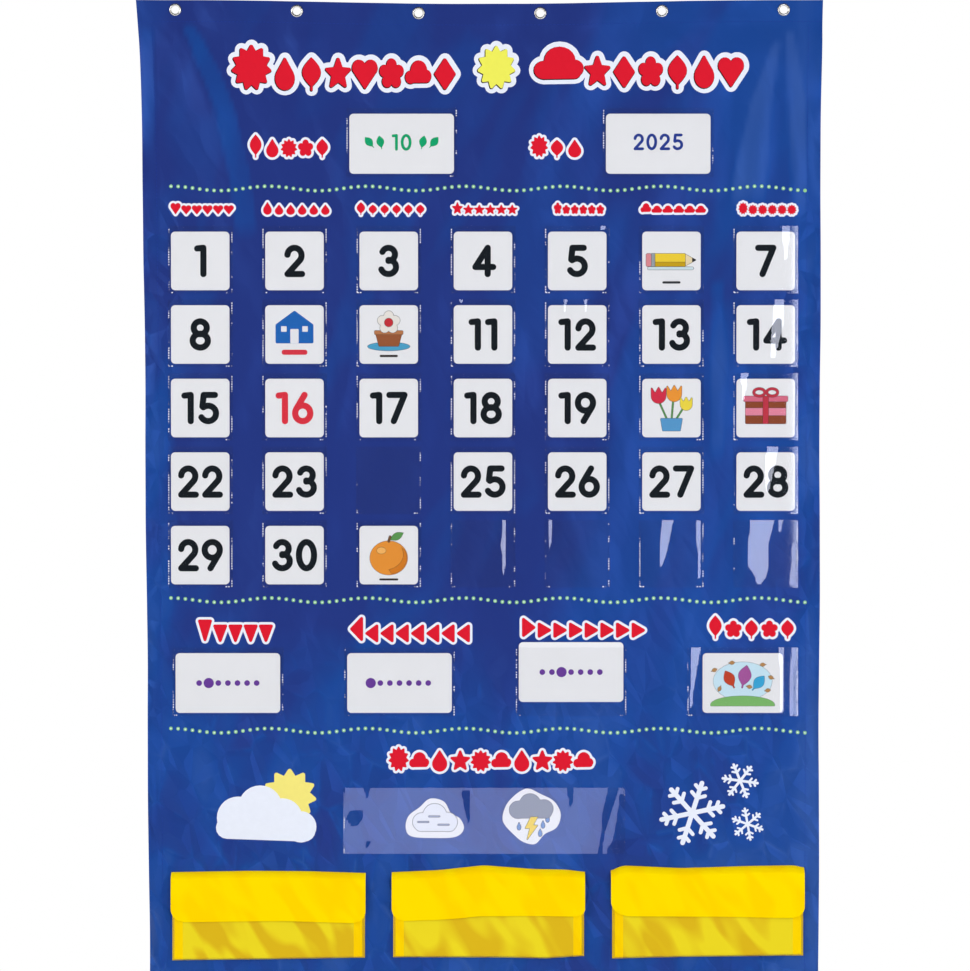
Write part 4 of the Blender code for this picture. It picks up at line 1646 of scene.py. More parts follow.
@dataclass
class BackingSheet:
    """The blue sheet with its hems, stitches and eyelet holes.

    Attributes:
        face: The shape of its printed side.
        margin_columns: Cells across each free margin.
        hole_radius: Of the holes that the eyelets' barrels fill.
        stitch_pitch: From one stitch to the next.
        stitch_length: Of one stitch.
        stitch_width: Of the thread.
    """

    face: SheetFace
    margin_columns: int = 14
    hole_radius: float = 5.15
    stitch_pitch: float = 4.2
    stitch_length: float = 3.0
    stitch_width: float = 0.55

    def columns(self) -> tuple[np.ndarray, np.ndarray, np.ndarray]:
        """Give the shares at which columns stand in the left margin, the field and the right.

        Returns:
            The shares in each part, from the left.
        """
        form = self.face.form
        wide = form.field[1] - form.field[0] + 2 * form.flat_border
        field_columns = round(wide / form.cell)
        margin = np.linspace(0, 1, self.margin_columns + 1)
        return margin[:0:-1], np.linspace(0, 1, field_columns + 1), margin[1:]

    def grid(self) -> tuple[np.ndarray, np.ndarray]:
        """Give X and Z of every grid point before the sag, from the lowest row up.

        Returns:
            X and Z, each as rows and columns.
        """
        form = self.face.form
        bottom, top = form.span
        heights = np.linspace(bottom, top, round((top - bottom) / form.cell) + 1)
        left_shares, field_shares, right_shares = self.columns()
        start, end = form.field[0] - form.flat_border, form.field[1] + form.flat_border
        rows = []
        for z in heights:
            left = start - (start - form.left(z)) * left_shares
            middle = start + (end - start) * field_shares
            right = end + (form.right(z) - end) * right_shares
            rows.append(np.concatenate([left, middle, right]))
        x = np.array(rows)
        return x, np.repeat(heights[:, None], x.shape[1], axis=1)

    def hole_ring(self, x: np.ndarray, z: np.ndarray, spot: Point) -> tuple[list[int], set[int], np.ndarray]:
        """Find the block of cells that gives way to one eyelet hole.

        Args:
            x: Grid points' X.
            z: Grid points' Z after the sag.
            spot: Middle of the hole.

        Returns:
            The block's border points in order, the cells inside, and the hole's ring of X and Z.
        """
        rows, columns = x.shape
        row, column = np.unravel_index(np.argmin(np.hypot(x - spot[0], z - spot[1])), x.shape)
        half = 2
        low_row, high_row, low, high = row - half, row + half, column - half, column + half
        border = [low_row * columns + c for c in range(low, high)]
        border += [r * columns + high for r in range(low_row, high_row)]
        border += [high_row * columns + c for c in range(high, low, -1)]
        border += [r * columns + low for r in range(high_row, low_row, -1)]
        cells = {r * (columns - 1) + c for r in range(low_row, high_row) for c in range(low, high)}
        flat_x, flat_z = x.reshape(-1)[border], z.reshape(-1)[border]
        angles = np.arctan2(flat_z - spot[1], flat_x - spot[0])
        ring = np.array(spot) + self.hole_radius * np.stack([np.cos(angles), np.sin(angles)], axis=1)
        return border, cells, ring

    def cut_holes(self, shell: Shell, x: np.ndarray, z: np.ndarray) -> tuple[np.ndarray, Faces]:
        """Cut the six holes, each with a wall through the cloth.

        Args:
            shell: The whole sheet.
            x: Grid points' X.
            z: Grid points' Z after the sag.

        Returns:
            Points and faces of the sheet with its holes.
        """
        points, count = shell.points, x.size
        dropped: set[int] = set()
        walls: Faces = []
        for spot in eyelet_spots():
            border, cells, ring = self.hole_ring(x, z, spot)
            dropped |= cells | {cell + shell.front_count for cell in cells}
            depth = points[border[0]][1]
            first, size = len(points), len(border)
            fronts = np.stack([ring[:, 0], np.full(size, depth), ring[:, 1]], axis=1)
            points = np.concatenate([points, fronts, fronts + (0, self.face.form.thickness, 0)])
            for index in range(size):
                after = (index + 1) % size
                a, b = border[index], border[after]
                ring_a, ring_b = first + index, first + after
                walls.append((a, b, ring_b, ring_a))
                walls.append((b + count, a + count, ring_a + size, ring_b + size))
                walls.append((ring_a, ring_b, ring_b + size, ring_a + size))
        kept = [face for index, face in enumerate(shell.faces) if index not in dropped] + walls
        used = np.unique(np.concatenate([np.array(face) for face in kept]))
        place = np.zeros(len(points), int)
        place[used] = np.arange(len(used))
        return points[used], [tuple(place[list(face)]) for face in kept]

    def build(self) -> None:
        """Cut the sheet as one thin shell with six holes, and sew its hems."""
        form = self.face.form
        x, z = self.grid()
        drooped = z - form.droop(x, z)
        y = self.face.front(x, z)
        front = np.stack([x, y, drooped], axis=2)
        back = np.stack([x, y + form.thickness + self.face.hems(x, z) * 0.5, drooped], axis=2)
        spots, faces = self.cut_holes(make_shell(front, back), x, drooped)
        sheet = add_piece("hanging_sheet", spots, faces, [NYLON], CHART, sharp_angle=60)
        # The painted sheen and the crumpling, stored on the points for the cloth's colour and bump.
        for label, measure in (("wear", self.face.wear), ("crumple", self.face.crumple)):
            values = measure(spots[:, 0], spots[:, 2]).astype(np.float32)
            sheet.data.attributes.new(label, "FLOAT", "POINT").data.foreach_set("value", values)
        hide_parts("backing_sheet")
        self.stitch()

    def stitch_lines(self) -> list[np.ndarray]:
        """List the lines that the stitches follow, as spots before the sag.

        Returns:
            Rows of X and Z for each line.
        """
        form = self.face.form
        bottom, top = form.span
        inset = 1.6
        hem = top - form.hem_depth + inset
        across = np.arange(form.left(hem) + inset * 2, form.right(hem) - inset * 2, self.stitch_pitch)
        lines = [np.stack([across, np.full(len(across), hem)], axis=1)]
        down = np.arange(bottom + inset * 2, hem - inset * 2, self.stitch_pitch)
        lines.append(np.stack([form.left(down) + form.side_hem - inset, down], axis=1))
        lines.append(np.stack([form.right(down) - form.side_hem + inset, down], axis=1))
        return lines

    def stitch(self) -> None:
        """Sew the hems with short raised stitches."""
        points, faces = [], []
        for line in self.stitch_lines():
            headings = np.gradient(line, axis=0)
            headings /= np.linalg.norm(headings, axis=1, keepdims=True)
            for spot, heading in zip(line, headings):
                aside = np.array((-heading[1], heading[0])) * self.stitch_width / 2
                ends = [spot - heading * self.stitch_length / 2, spot + heading * self.stitch_length / 2]
                first = len(points)
                for end, taper in ((ends[0], 0.4), (spot, 1.0), (ends[1], 0.4)):
                    for side, height in ((-1, 0.0), (0, 0.28 * taper), (1, 0.0)):
                        flat = end + aside * side * taper
                        z = flat[1] - self.face.form.droop(flat[0], flat[1])
                        points.append((flat[0], flat[1], z, height))
                for ring in (0, 3):
                    for corner in (0, 1):
                        a = first + ring + corner
                        faces.append((a, a + 3, a + 4, a + 1))
        table = np.array(points)
        y = self.face.front(table[:, 0], table[:, 1]) - table[:, 3]
        placed = np.stack([table[:, 0], y, table[:, 2]], axis=1)
        add_piece("hem_stitches", placed, faces, [THREAD], CHART)


@dataclass
class Eyelets:
    """Six pressed metal eyelets: a domed ring in front, a barrel, and a washer behind.

    Attributes:
        bore: Radius of the hole.
        rim: Radius of the ring.
        dome: Height of the ring in front of the sheet.
        washer: Thickness of the washer.
        steps: Sides of the turned ring.
    """

    bore: float = 4.35
    rim: float = 6.75
    dome: float = 1.1
    washer: float = 0.7
    steps: int = 40

    def section(self) -> list[Point]:
        """List the turned section as radius and depth in front of the sheet's back.

        Returns:
            The section's corners.
        """
        seat = 0.3
        front = SHEET.thickness + seat
        middle, half = (self.bore + self.rim) / 2, (self.rim - self.bore) / 2
        dome = arc((middle, front), (half, self.dome), 0, 180, 10)
        back = -seat
        barrel = self.bore + 0.5
        side, rear = back - self.washer * 0.6, back - self.washer
        washer = [(self.bore, side), (self.bore + 0.4, rear), (self.rim - 0.3, rear), (self.rim, side)]
        washer.append((self.rim, back))
        return dome + washer + [(barrel, back), (barrel, front)]

    def build(self) -> None:
        """Turn the section round each eyelet's axis."""
        section = self.section()
        size = len(section)
        for index, (x, z) in enumerate(eyelet_spots()):
            points, faces = [], []
            for step in range(self.steps):
                angle = 2 * math.pi * step / self.steps
                for radius, depth in section:
                    points.append((x + radius * math.cos(angle), -depth, z + radius * math.sin(angle)))
                after = (step + 1) % self.steps
                here, there = step * size, after * size
                for corner in range(size):
                    nearby = (corner + 1) % size
                    faces.append((here + corner, there + corner, there + nearby, here + nearby))
            eyelet = add_piece(f"pressed_eyelet_{index + 1}", np.array(points), faces, [NICKEL], CHART)
            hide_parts(f"eyelet_{index + 1}")


# Prints on the sheet


@dataclass(frozen=True)
class MotifRow:
    """A line of printed figures that stands where a heading does.

    Attributes:
        name: What the row heads.
        motifs: Its figures from the left.
        left: Left end of the row, with its white edge.
        right: Right end.
        foot: Lowest point.
        head: Highest point of the first figure.
        small_share: Height of the other figures, as a share of the first.
        halo: Width of the white edge.
        line: Width of the dark line inside it.
        first_share: Width of the first figure, in widths of the others.
        ink: Of the figures.
    """

    name: str
    motifs: tuple[Motif, ...]
    left: float
    right: float
    foot: float
    head: float
    small_share: float = 0.8
    halo: float = 2.6
    line: float = 0.0
    first_share: float = 1.0
    ink: ScreenInk = INK_RED

    def outlines(self) -> list[Outline]:
        """Place the figures along the row.

        Returns:
            The lines of all the figures.
        """
        inner_left, inner_right = self.left + self.halo, self.right - self.halo
        tall = self.head - self.foot - 2 * self.halo
        unit = (inner_right - inner_left) / (len(self.motifs) - 1 + self.first_share)
        found = []
        start = inner_left
        for index, motif in enumerate(self.motifs):
            width = unit * self.first_share if index == 0 else unit
            height = tall if index == 0 else tall * self.small_share
            centre = (start + width / 2, self.foot + self.halo + height / 2)
            found += [line.placed(centre, width, height) for line in unit_motif(motif)]
            start += width
        return found

    def build(self, face: SheetFace) -> None:
        """Print the white edge, the dark line and the figures.

        Args:
            face: The sheet's printed side.
        """
        outlines = self.outlines()
        layer = 0.06
        edge = self.line + self.halo
        print_shape(f"{self.name}_white_edge", outlines, face, 2 * layer, INK_WHITE, CHART, edge)
        if self.line:
            slip = (-0.45, -0.5)
            shadow = [outline.placed(slip, 1.0, 1.0) for outline in outlines]
            print_shape(f"{self.name}_dark_line", shadow, face, 3 * layer, INK_DARK, CHART, self.line)
        print_shape(f"{self.name}_figures", outlines, face, 4 * layer, self.ink, CHART)


@dataclass
class SheetPrints:
    """Everything screen-printed on the sheet.

    Attributes:
        face: The sheet's printed side.
        dot_pitch: From one dot of a wavy line to the next.
        dot_radius: Of a dot.
        dot_centre: Width of the green round its white middle.
        wave_length: Of a wavy line.
        wave_height: How far the line swings up and down.
        layer: How far the ink stands in front of the sheet.
    """

    face: SheetFace
    dot_pitch: float = 7.82
    dot_radius: float = 2.0
    dot_centre: float = 1.25
    wave_length: float = 106.4
    wave_height: float = 2.39
    layer: float = 0.12

    def headings(self) -> list[MotifRow]:
        """List the rows of figures.

        Returns:
            The rows, from the title down.
        """
        sun, drop, leaf, diamond, star, cloud, flower, heart, left, right, down = Motif
        title = {"halo": 5.0, "line": 0.6, "small_share": 0.72}
        return [
            MotifRow(
                "title_left", (sun, drop, leaf, star, heart, flower, cloud, diamond),
                -274.1, -17.9, -92.6, -32.9, first_share=1.5, **title,
            ),
            MotifRow("title_middle", (sun,), -7.1, 44.0, -91.5, -34.0, ink=INK_YELLOW, **title),
            MotifRow(
                "title_right", (cloud, star, diamond, flower, leaf, drop, heart), 53.7, 292.5, -90.4, -30.7,
                first_share=1.9, **title,
            ),
            MotifRow("month_heading", (leaf, drop, sun, flower, leaf), -254.6, -159.0, -163.1, -132.8),
            MotifRow("year_heading", (sun, leaf, drop), 52.6, 115.6, -163.1, -133.8),
            MotifRow("today_heading", (down,) * 5, -308.8, -220.9, -690.7, -654.9, small_share=0.78),
            MotifRow("yesterday_heading", (left,) * 8, -143.8, -6.0, -690.7, -653.8, small_share=0.7),
            MotifRow("tomorrow_heading", (right,) * 8, 41.8, 182.9, -685.2, -655.9, small_share=0.75),
            MotifRow("season_heading", (leaf, flower, leaf, flower, leaf), 243.7, 346.8, -685.2, -654.9),
            MotifRow(
                "weather_heading", (sun, cloud, drop, star, sun, cloud, drop, star, sun, cloud),
                -101.5, 126.5, -829.8, -797.1, small_share=0.85,
            ),
        ]

    def weekday_rows(self) -> list[MotifRow]:
        """List the row of small figures over each column, a different figure for each.

        Returns:
            The rows from the left.
        """
        figures = (Motif.HEART, Motif.DROP, Motif.LEAF, Motif.STAR, Motif.FLOWER, Motif.CLOUD, Motif.SUN)
        half_widths = (37.0, 40.0, 41.0, 38.0, 30.0, 38.0, 34.0)
        rows = []
        strip = POCKETS.strips()["date_pocket_row_1"]
        for figure, half, (left, right, _, top) in zip(figures, half_widths, strip):
            centre = (left + right) / 2 + 2.0
            foot, head = top + 9.9, top + 28.3
            rows.append(
                MotifRow(
                    f"{figure.value}_column_heading", (figure,) * 6, centre - half, centre + half, foot, head,
                    small_share=0.8, halo=2.3,
                )
            )
        return rows

    def dotted_waves(self) -> None:
        """Print the three wavy lines of dots that part the chart's bands."""
        start, end = -334.9, 350.1
        for name, middle in (("upper", -194.1), ("middle", -641.0), ("lower", -782.6)):
            outlines = []
            for index in range(round((end - start) / self.dot_pitch) + 1):
                x = start + index * self.dot_pitch
                rise = self.wave_height * math.cos(2 * math.pi * (x - start) / self.wave_length)
                spot = (x, middle + rise)
                outlines.append(stroke([spot, (x + 0.01, middle + rise)], self.dot_radius))
            print_shape(f"{name}_dotted_wave", outlines, self.face, self.layer, INK_GREEN, CHART)
            over = self.layer + 0.03
            print_shape(f"{name}_dot_centres", outlines, self.face, over, INK_WHITE, CHART, -self.dot_centre)

    def weather_figures(self) -> None:
        """Print a sun behind a cloud at the left, and three snow crystals at the right."""
        sun = [line.placed((-206.0, -853.0), 58.0, 58.0) for line in unit_motif(Motif.SUN)]
        print_shape("printed_sun", sun, self.face, self.layer, INK_SUN, CHART)
        puffs = (
            ((-262.0, -877.0), 23.0), ((-238.0, -866.0), 24.0),
            ((-214.0, -878.0), 22.0), ((-194.0, -887.0), 17.0),
        )
        cloud = [disc(middle, radius, steps=28) for middle, radius in puffs]
        cloud.append(stroke([(-274.0, -888.0), (-190.0, -891.0)], 12.0))
        print_shape("printed_cloud", cloud, self.face, self.layer + 0.06, INK_WHITE, CHART)
        crystals = self.crystal((231.0, -872.0), reach=34.0, turn=12.0)
        crystals += self.crystal((291.0, -884.0), reach=17.0, turn=40.0)
        crystals += self.crystal((283.0, -837.0), reach=19.0, turn=-8.0)
        print_shape("printed_snow", crystals, self.face, self.layer, INK_WHITE, CHART)

    def crystal(self, centre: Point, reach: float, turn: float) -> list[Outline]:
        """Draw a six-armed snow crystal.

        Args:
            centre: Its middle.
            reach: Length of an arm.
            turn: Turn of the first arm in degrees.

        Returns:
            Its strokes.
        """
        pen = reach * 0.075
        twig_angle = math.radians(58)
        lines = []

        def away(start: Point, length: float, angle: float) -> Point:
            """Give the point this far from another."""
            return start[0] + length * math.cos(angle), start[1] + length * math.sin(angle)

        for arm in range(6):
            angle = math.radians(turn + 60 * arm)
            lines.append(stroke([centre, away(centre, reach, angle)], pen))
            for share, twig in ((0.5, 0.26), (0.78, 0.2)):
                root = away(centre, reach * share, angle)
                for side in (-1, 1):
                    end = away(root, reach * twig, angle + side * twig_angle)
                    lines.append(stroke([root, end], pen * 0.8))
        return lines

    def build(self) -> None:
        """Print every row, dot and weather figure."""
        for row in self.headings() + self.weekday_rows():
            row.build(self.face)
        self.dotted_waves()
        self.weather_figures()


# Clear pockets


@dataclass(frozen=True)
class Tilt:
    """A patch of film that turns to the viewer's right, and so mirrors another part of the room.

    Attributes:
        slope: How far the film falls back for each millimetre to the right.
        edges: Heights with the patch's left and right edges there, as shares of the free film.
    """

    slope: float
    edges: tuple[tuple[float, float, float], ...]

    def turn(self, across: np.ndarray, up: np.ndarray, width: float) -> np.ndarray:
        """Give how far the film falls back to the right at each place.

        Args:
            across: Shares across the free film.
            up: Shares up it.
            width: Its width.

        Returns:
            The slope inside the patch, and 0 outside.
        """
        heights, lefts, rights = zip(*self.edges)
        left, right = np.interp(up, heights, lefts), np.interp(up, heights, rights)
        inside = (up >= heights[0] - 0.01) & (up <= heights[-1] + 0.01)
        soft = 1.2 / width
        return self.slope * inside * ease((across - left) / soft + 0.5) * ease((right - across) / soft + 0.5)


# The bright marks on the films, by strip and by pocket from the left.
GLINTS: dict[tuple[str, int], tuple[Tilt, ...]] = {
    ("date_pocket_row_5", 5): (
        Tilt(0.095, ((0.30, 0.31, 0.35), (0.5, 0.31, 0.42), (1.0, 0.33, 0.53))),
        Tilt(0.095, ((0.10, 0.96, 0.98), (0.5, 0.94, 0.99), (1.0, 0.92, 0.99))),
    ),
    ("date_pocket_row_5", 6): (
        Tilt(0.06, (
            (0.02, 0.36, 0.42), (0.12, 0.35, 0.50), (0.3, 0.20, 0.53), (0.6, 0.21, 0.52), (1.0, 0.25, 0.63),
        )),
        Tilt(0.06, ((0.80, 0.75, 0.76), (1.0, 0.73, 0.77))),
        Tilt(0.06, ((0.02, 0.93, 0.99), (0.4, 0.95, 0.98), (0.6, 0.96, 0.965))),
    ),
    ("date_pocket_row_5", 3): (Tilt(0.16, ((0.1, 0.84, 0.86), (0.6, 0.80, 0.90), (1.0, 0.82, 0.88))),),
    ("date_pocket_row_5", 4): (Tilt(0.14, ((0.2, 0.04, 0.06), (1.0, 0.02, 0.07))),),
    ("date_pocket_row_1", 4): (Tilt(0.125, ((0.93, 0.90, 0.97), (1.0, 0.89, 0.97))),),
    ("date_pocket_row_2", 3): (Tilt(0.15, ((0.93, 0.10, 0.16), (1.0, 0.09, 0.17))),),
    ("date_pocket_row_2", 4): (
        Tilt(0.125, ((0.82, 0.28, 0.31), (1.0, 0.27, 0.33))),
        Tilt(0.125, ((0.82, 0.62, 0.65), (1.0, 0.61, 0.68))),
    ),
    ("date_pocket_row_1", 6): (Tilt(0.05, ((0.5, 0.84, 0.85), (1.0, 0.78, 0.88))),),
    ("date_pocket_row_2", 6): (Tilt(0.04, ((0.1, 0.60, 0.64), (0.7, 0.62, 0.80), (1.0, 0.66, 0.78))),),
    ("date_pocket_row_3", 6): (Tilt(0.05, ((0.6, 0.12, 0.14), (1.0, 0.08, 0.20))),),
    ("date_pocket_row_4", 6): (Tilt(0.04, ((0.3, 0.52, 0.54), (0.8, 0.50, 0.66), (1.0, 0.54, 0.70))),),
    ("day_pocket_row", 3): (
        Tilt(0.07, ((0.0, 0.0, 0.012), (0.3, 0.0, 0.03), (1.0, 0.015, 0.10))),
        Tilt(0.07, ((0.05, 0.865, 0.873), (1.0, 0.855, 0.885))),
        Tilt(0.07, ((0.0, 0.955, 0.965), (0.6, 0.965, 0.975), (1.0, 0.97, 0.985))),
    ),
    ("weather_pocket", 0): (
        Tilt(-0.09, ((0.41, 0.022, 0.042), (0.45, 0.016, 0.049), (0.54, 0.004, 0.061), (0.61, 0.014, 0.060))),
        Tilt(-0.09, ((0.06, 0.074, 0.080), (0.12, 0.070, 0.086), (0.17, 0.078, 0.082))),
        Tilt(-0.09, ((0.86, 0.075, 0.079), (1.0, 0.067, 0.086))),
        Tilt(0.09, ((0.40, 0.442, 0.446), (0.55, 0.43, 0.455), (0.75, 0.42, 0.452), (0.98, 0.415, 0.452))),
        Tilt(0.09, ((0.68, 0.812, 0.816), (1.0, 0.798, 0.824))),
        Tilt(0.09, ((0.0, 0.914, 0.925), (0.3, 0.925, 0.934), (0.62, 0.930, 0.958), (1.0, 0.951, 0.985))),
        Tilt(0.09, ((0.0, 0.945, 1.0), (0.2, 0.969, 1.0), (0.45, 0.980, 1.0), (0.9, 0.993, 1.0))),
    ),
}


@dataclass
class ClearPockets:
    """The clear film pockets, each welded round three sides and open at the top.

    Attributes:
        weld: Width of the side and foot welds.
        run: Width over which the film climbs from its weld.
        film: Its thickness.
        seat: Gap between sheet and weld that the frame keeps.
        foot_depth: Depth of the film's back at the pocket's foot.
        lean: How far the film leans forward for each millimetre up.
        cell: Size of the film's squares.
        dash: Length of a weld mark.
        dash_pitch: From one mark to the next.
        dash_width: Of a mark.
    """

    weld: float = 2.0
    run: float = 1.0
    film: float = 0.25
    seat: float = 0.3
    foot_depth: float = 1.0
    lean: float = 0.02444
    cell: float = 2.1
    dash: float = 1.7
    dash_pitch: float = 2.7
    dash_width: float = 1.15

    def pocket(self, name: str, index: int, outline: Edges) -> tuple[Shell, np.ndarray]:
        """Make one pocket's film as a thin shell.

        Args:
            name: The strip's node.
            index: The pocket's place in the strip.
            outline: The pocket's edges.

        Returns:
            The shell, and the way that each of its points faces; film is too wavy for its flat form.
        """
        left, right, bottom, top = outline
        inset = self.weld + self.run
        width = right - left - 2 * inset
        inner_x = np.linspace(left + inset, right - inset, round(width / self.cell) + 1)
        xs = np.concatenate([[left, left + self.weld], inner_x, [right - self.weld, right]])
        inner_z = np.linspace(bottom + inset, top, round((top - bottom) / self.cell / 1.5) + 1)
        zs = np.concatenate([[bottom, bottom + self.weld], inner_z])
        x, z = np.meshgrid(xs, zs)
        across = np.clip((x - left - inset) / width, 0, 1)
        up = np.clip((z - bottom - inset) / (top - bottom - inset), 0, 1)
        welded = self.weld + 0.01
        free = (x > left + welded) & (x < right - welded) & (z > bottom + welded)
        depth = self.foot_depth + (z - bottom - inset) * self.lean
        turn = np.zeros(x.shape)
        for tilt in GLINTS.get((name, index), ()):
            turn += tilt.turn(across, up, width)
        back = -(SHEET.thickness + np.where(free, depth, self.seat))
        normals = np.stack([turn, -np.ones(x.shape), -self.lean * free], axis=2).reshape(-1, 3)
        shell = make_shell(np.stack([x, back - self.film, z], axis=2), np.stack([x, back, z], axis=2))
        return shell, np.concatenate([normals, -normals])

    def build_strip(self, name: str, outlines: list[Edges]) -> None:
        """Make the films of one strip, with their weld marks.

        Args:
            name: The strip's node.
            outlines: Its pockets' edges.
        """
        points, normals, faces, finish_of_face = [], [], [], []
        first = 0
        for index, outline in enumerate(outlines):
            shell, facing = self.pocket(name, index, outline)
            points.append(shell.points)
            normals.append(facing)
            faces += [tuple(corner + first for corner in face) for face in shell.faces]
            rest = len(shell.faces) - shell.front_count
            finish_of_face += [0] * shell.front_count + [1] * rest
            first += len(shell.points)
        film = add_piece(
            f"{name}_film", np.concatenate(points), faces, [FILM, FILM_INNER], CHART,
            np.concatenate(normals), finish_of_face,
        )
        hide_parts(name)
        self.weld_marks(name, outlines)

    def weld_marks(self, name: str, outlines: list[Edges]) -> None:
        """Press the dashes that the welding die leaves along each pocket's sides and foot corners.

        Args:
            name: The strip's node.
            outlines: Its pockets' edges.
        """
        points, faces = [], []
        proud = 0.2
        base = SHEET.thickness + self.seat + self.film
        corner_run = 7.0

        def press(x: float, z: float, wide: float, tall: float) -> None:
            """Add one low dash with sloping sides.

            Args:
                x: Its middle across the sheet.
                z: Its middle up the sheet.
                wide: Its width.
                tall: Its height.
            """
            first = len(points)
            for inset, depth in ((0.0, base), (0.2, base + proud)):
                half_x, half_z = wide / 2 - inset, tall / 2 - inset
                for side_x, side_z in ((-1, -1), (1, -1), (1, 1), (-1, 1)):
                    points.append((x + side_x * half_x, -depth, z + side_z * half_z))
            faces.append((first + 4, first + 5, first + 6, first + 7))
            for corner in range(4):
                after = (corner + 1) % 4
                faces.append((first + corner, first + after, first + 4 + after, first + 4 + corner))

        for left, right, bottom, top in outlines:
            for x in (left + self.weld / 2, right - self.weld / 2):
                for z in np.arange(bottom + self.dash, top - self.dash, self.dash_pitch):
                    press(x, z, self.dash_width, self.dash)
            for start, end in ((left + 2, left + corner_run), (right - corner_run, right - 2)):
                for x in np.arange(start, end, self.dash_pitch):
                    press(x, bottom + self.weld / 2, self.dash, self.dash_width)
        # The dashes' white is painted glint, partly the real whitening of the weld.
        add_piece(f"{name}_weld_marks", np.array(points), faces, [WELD_GLINTS], CHART, sharp_angle=20)

    def build(self) -> None:
        """Make every strip of pockets."""
        for name, outlines in POCKETS.strips().items():
            self.build_strip(name, outlines)


# Cards


class CardFace:
    """The printed face of a card that stands in its leaning pocket."""

    cell: float | None = None

    def __init__(self, node: str, thickness: float = 0.4) -> None:
        """Find the card's place and lean in the frame.

        Args:
            node: The card's node, which is also its body.
            thickness: Of the card.
        """
        axis = next(joint["axis"] for joint in frame["joints"] if joint["name"] == f"{node}_slide")
        self.up = np.array(axis, float)
        self.out = np.array((0.0, -self.up[2], self.up[1]))
        low, high = box_mm(node)
        self.size = (high[0] - low[0], (high[2] - low[2]) / self.up[2])
        self.thickness = thickness
        self.foot = np.array(((low[0] + high[0]) / 2, high[1], low[2] - self.out[2] * thickness))

    def lift(self, spots: np.ndarray, height: float) -> np.ndarray:
        """Put spots, measured from the card's middle, this far in front of its face.

        Args:
            spots: Rows of places across and up.
            height: How far in front of the face.

        Returns:
            Rows of X, Y and Z.
        """
        raised = self.thickness + height
        side = np.array((1.0, 0.0, 0.0))
        up = spots[:, 1:2] + self.size[1] / 2
        return self.foot + spots[:, 0:1] * side + up * self.up + raised * self.out

    def normals(self, spots: np.ndarray) -> np.ndarray:
        """Give the card's one normal at each spot."""
        return np.tile(self.out, (len(spots), 1))


def card_plate(name: str, face: CardFace, border: list[Point], node: str) -> None:
    """Make a card as a thin plate with softly broken edges.

    Args:
        name: The plate's plain name.
        face: Where it stands.
        border: Its outline from its middle, turning left.
        node: The frame node and body that it stands for.
    """
    spots = np.array(border)
    broken = 0.1
    inward = spots * (1 - broken / np.linalg.norm(spots, axis=1, keepdims=True))
    count = len(spots)
    rings = [
        face.lift(inward, 0.0), face.lift(spots, -broken), face.lift(spots, broken - face.thickness),
        face.lift(inward, -face.thickness),
    ]
    faces: Faces = [tuple(range(count)), tuple(range(4 * count - 1, 3 * count - 1, -1))]
    for ring in range(3):
        for index in range(count):
            after = (index + 1) % count
            a, b = ring * count + index, ring * count + after
            faces.append((b, a, a + count, b + count))
    plate = add_piece(name, np.concatenate(rings), faces, [CARD], node, sharp_angle=30)
    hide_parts(node)


def rounded_border(width: float, height: float, corner: float, steps: int = 7) -> list[Point]:
    """Give a card's outline with round corners, turning left.

    Args:
        width: Of the card.
        height: Of the card.
        corner: Radius of its corners.
        steps: Stretches in a corner.

    Returns:
        The outline's points.
    """
    half_x, half_y = width / 2 - corner, height / 2 - corner
    border: list[Point] = []
    for quarter, (side, end) in enumerate(((1, 1), (-1, 1), (-1, -1), (1, -1))):
        centre = (side * half_x, end * half_y)
        border += arc(centre, (corner, corner), 90 * quarter, 90 * quarter + 90, steps)
    return border


@dataclass(frozen=True)
class Picture:
    """A small picture, painted in layers from the back.

    Attributes:
        layers: A colour's name and hex value, with the lines that it fills.
        ink: Width of the dark line round each layer, or 0.
    """

    layers: tuple[tuple[str, str, tuple[Outline, ...]], ...]
    ink: float = 0.35

    def paint(self, name: str, face: CardFace, node: str) -> None:
        """Paint the layers on a card, each a little in front of the last.

        Args:
            name: What the picture is on.
            face: The card's face.
            node: The card's node and body.
        """
        layer = 0.012
        dark = card_ink("ink line", "#3A3432")
        for index, (label, colour, lines) in enumerate(self.layers):
            height = 0.03 + 2 * layer * index
            if self.ink:
                print_shape(f"{name}_{label}_line", lines, face, height, dark, node, self.ink)
            finish = card_ink(label, colour)
            print_shape(f"{name}_{label}", lines, face, height + layer, finish, node)


def caption_bar() -> Outline:
    """Give the short dark bar that stands where a picture card has its caption."""
    return bar(-9.5, 9.5, -24.2, -22.4, 0.9)


def pencil_picture() -> Picture:
    """Paint a yellow pencil.

    Returns:
        The picture.
    """
    return Picture((
        ("pale_ground", "#CFE0E4", (bar(-26, 24, -9.5, -6.5, 1.4),)),
        ("wood", "#EAD9B0", (area([(15, -5), (15, 7), (26, 1)], 0.4),)),
        ("yellow_paint", "#F0D03C", (bar(-18, 15, -6, 8, 0.6),)),
        ("dark_paint", "#C9A41F", (bar(-18, 15, -6, -1.4, 0.5),)),
        ("grey_ferrule", "#9AA3A8", (bar(-22, -18, -6, 8, 0.5),)),
        ("pink_rubber", "#DF8F94", (bar(-27.5, -22, -6, 8, 1.6),)),
        ("lead", "#35363A", (area([(23, -0.6), (23, 2.6), (26, 1)], 0.3), caption_bar())),
    ))


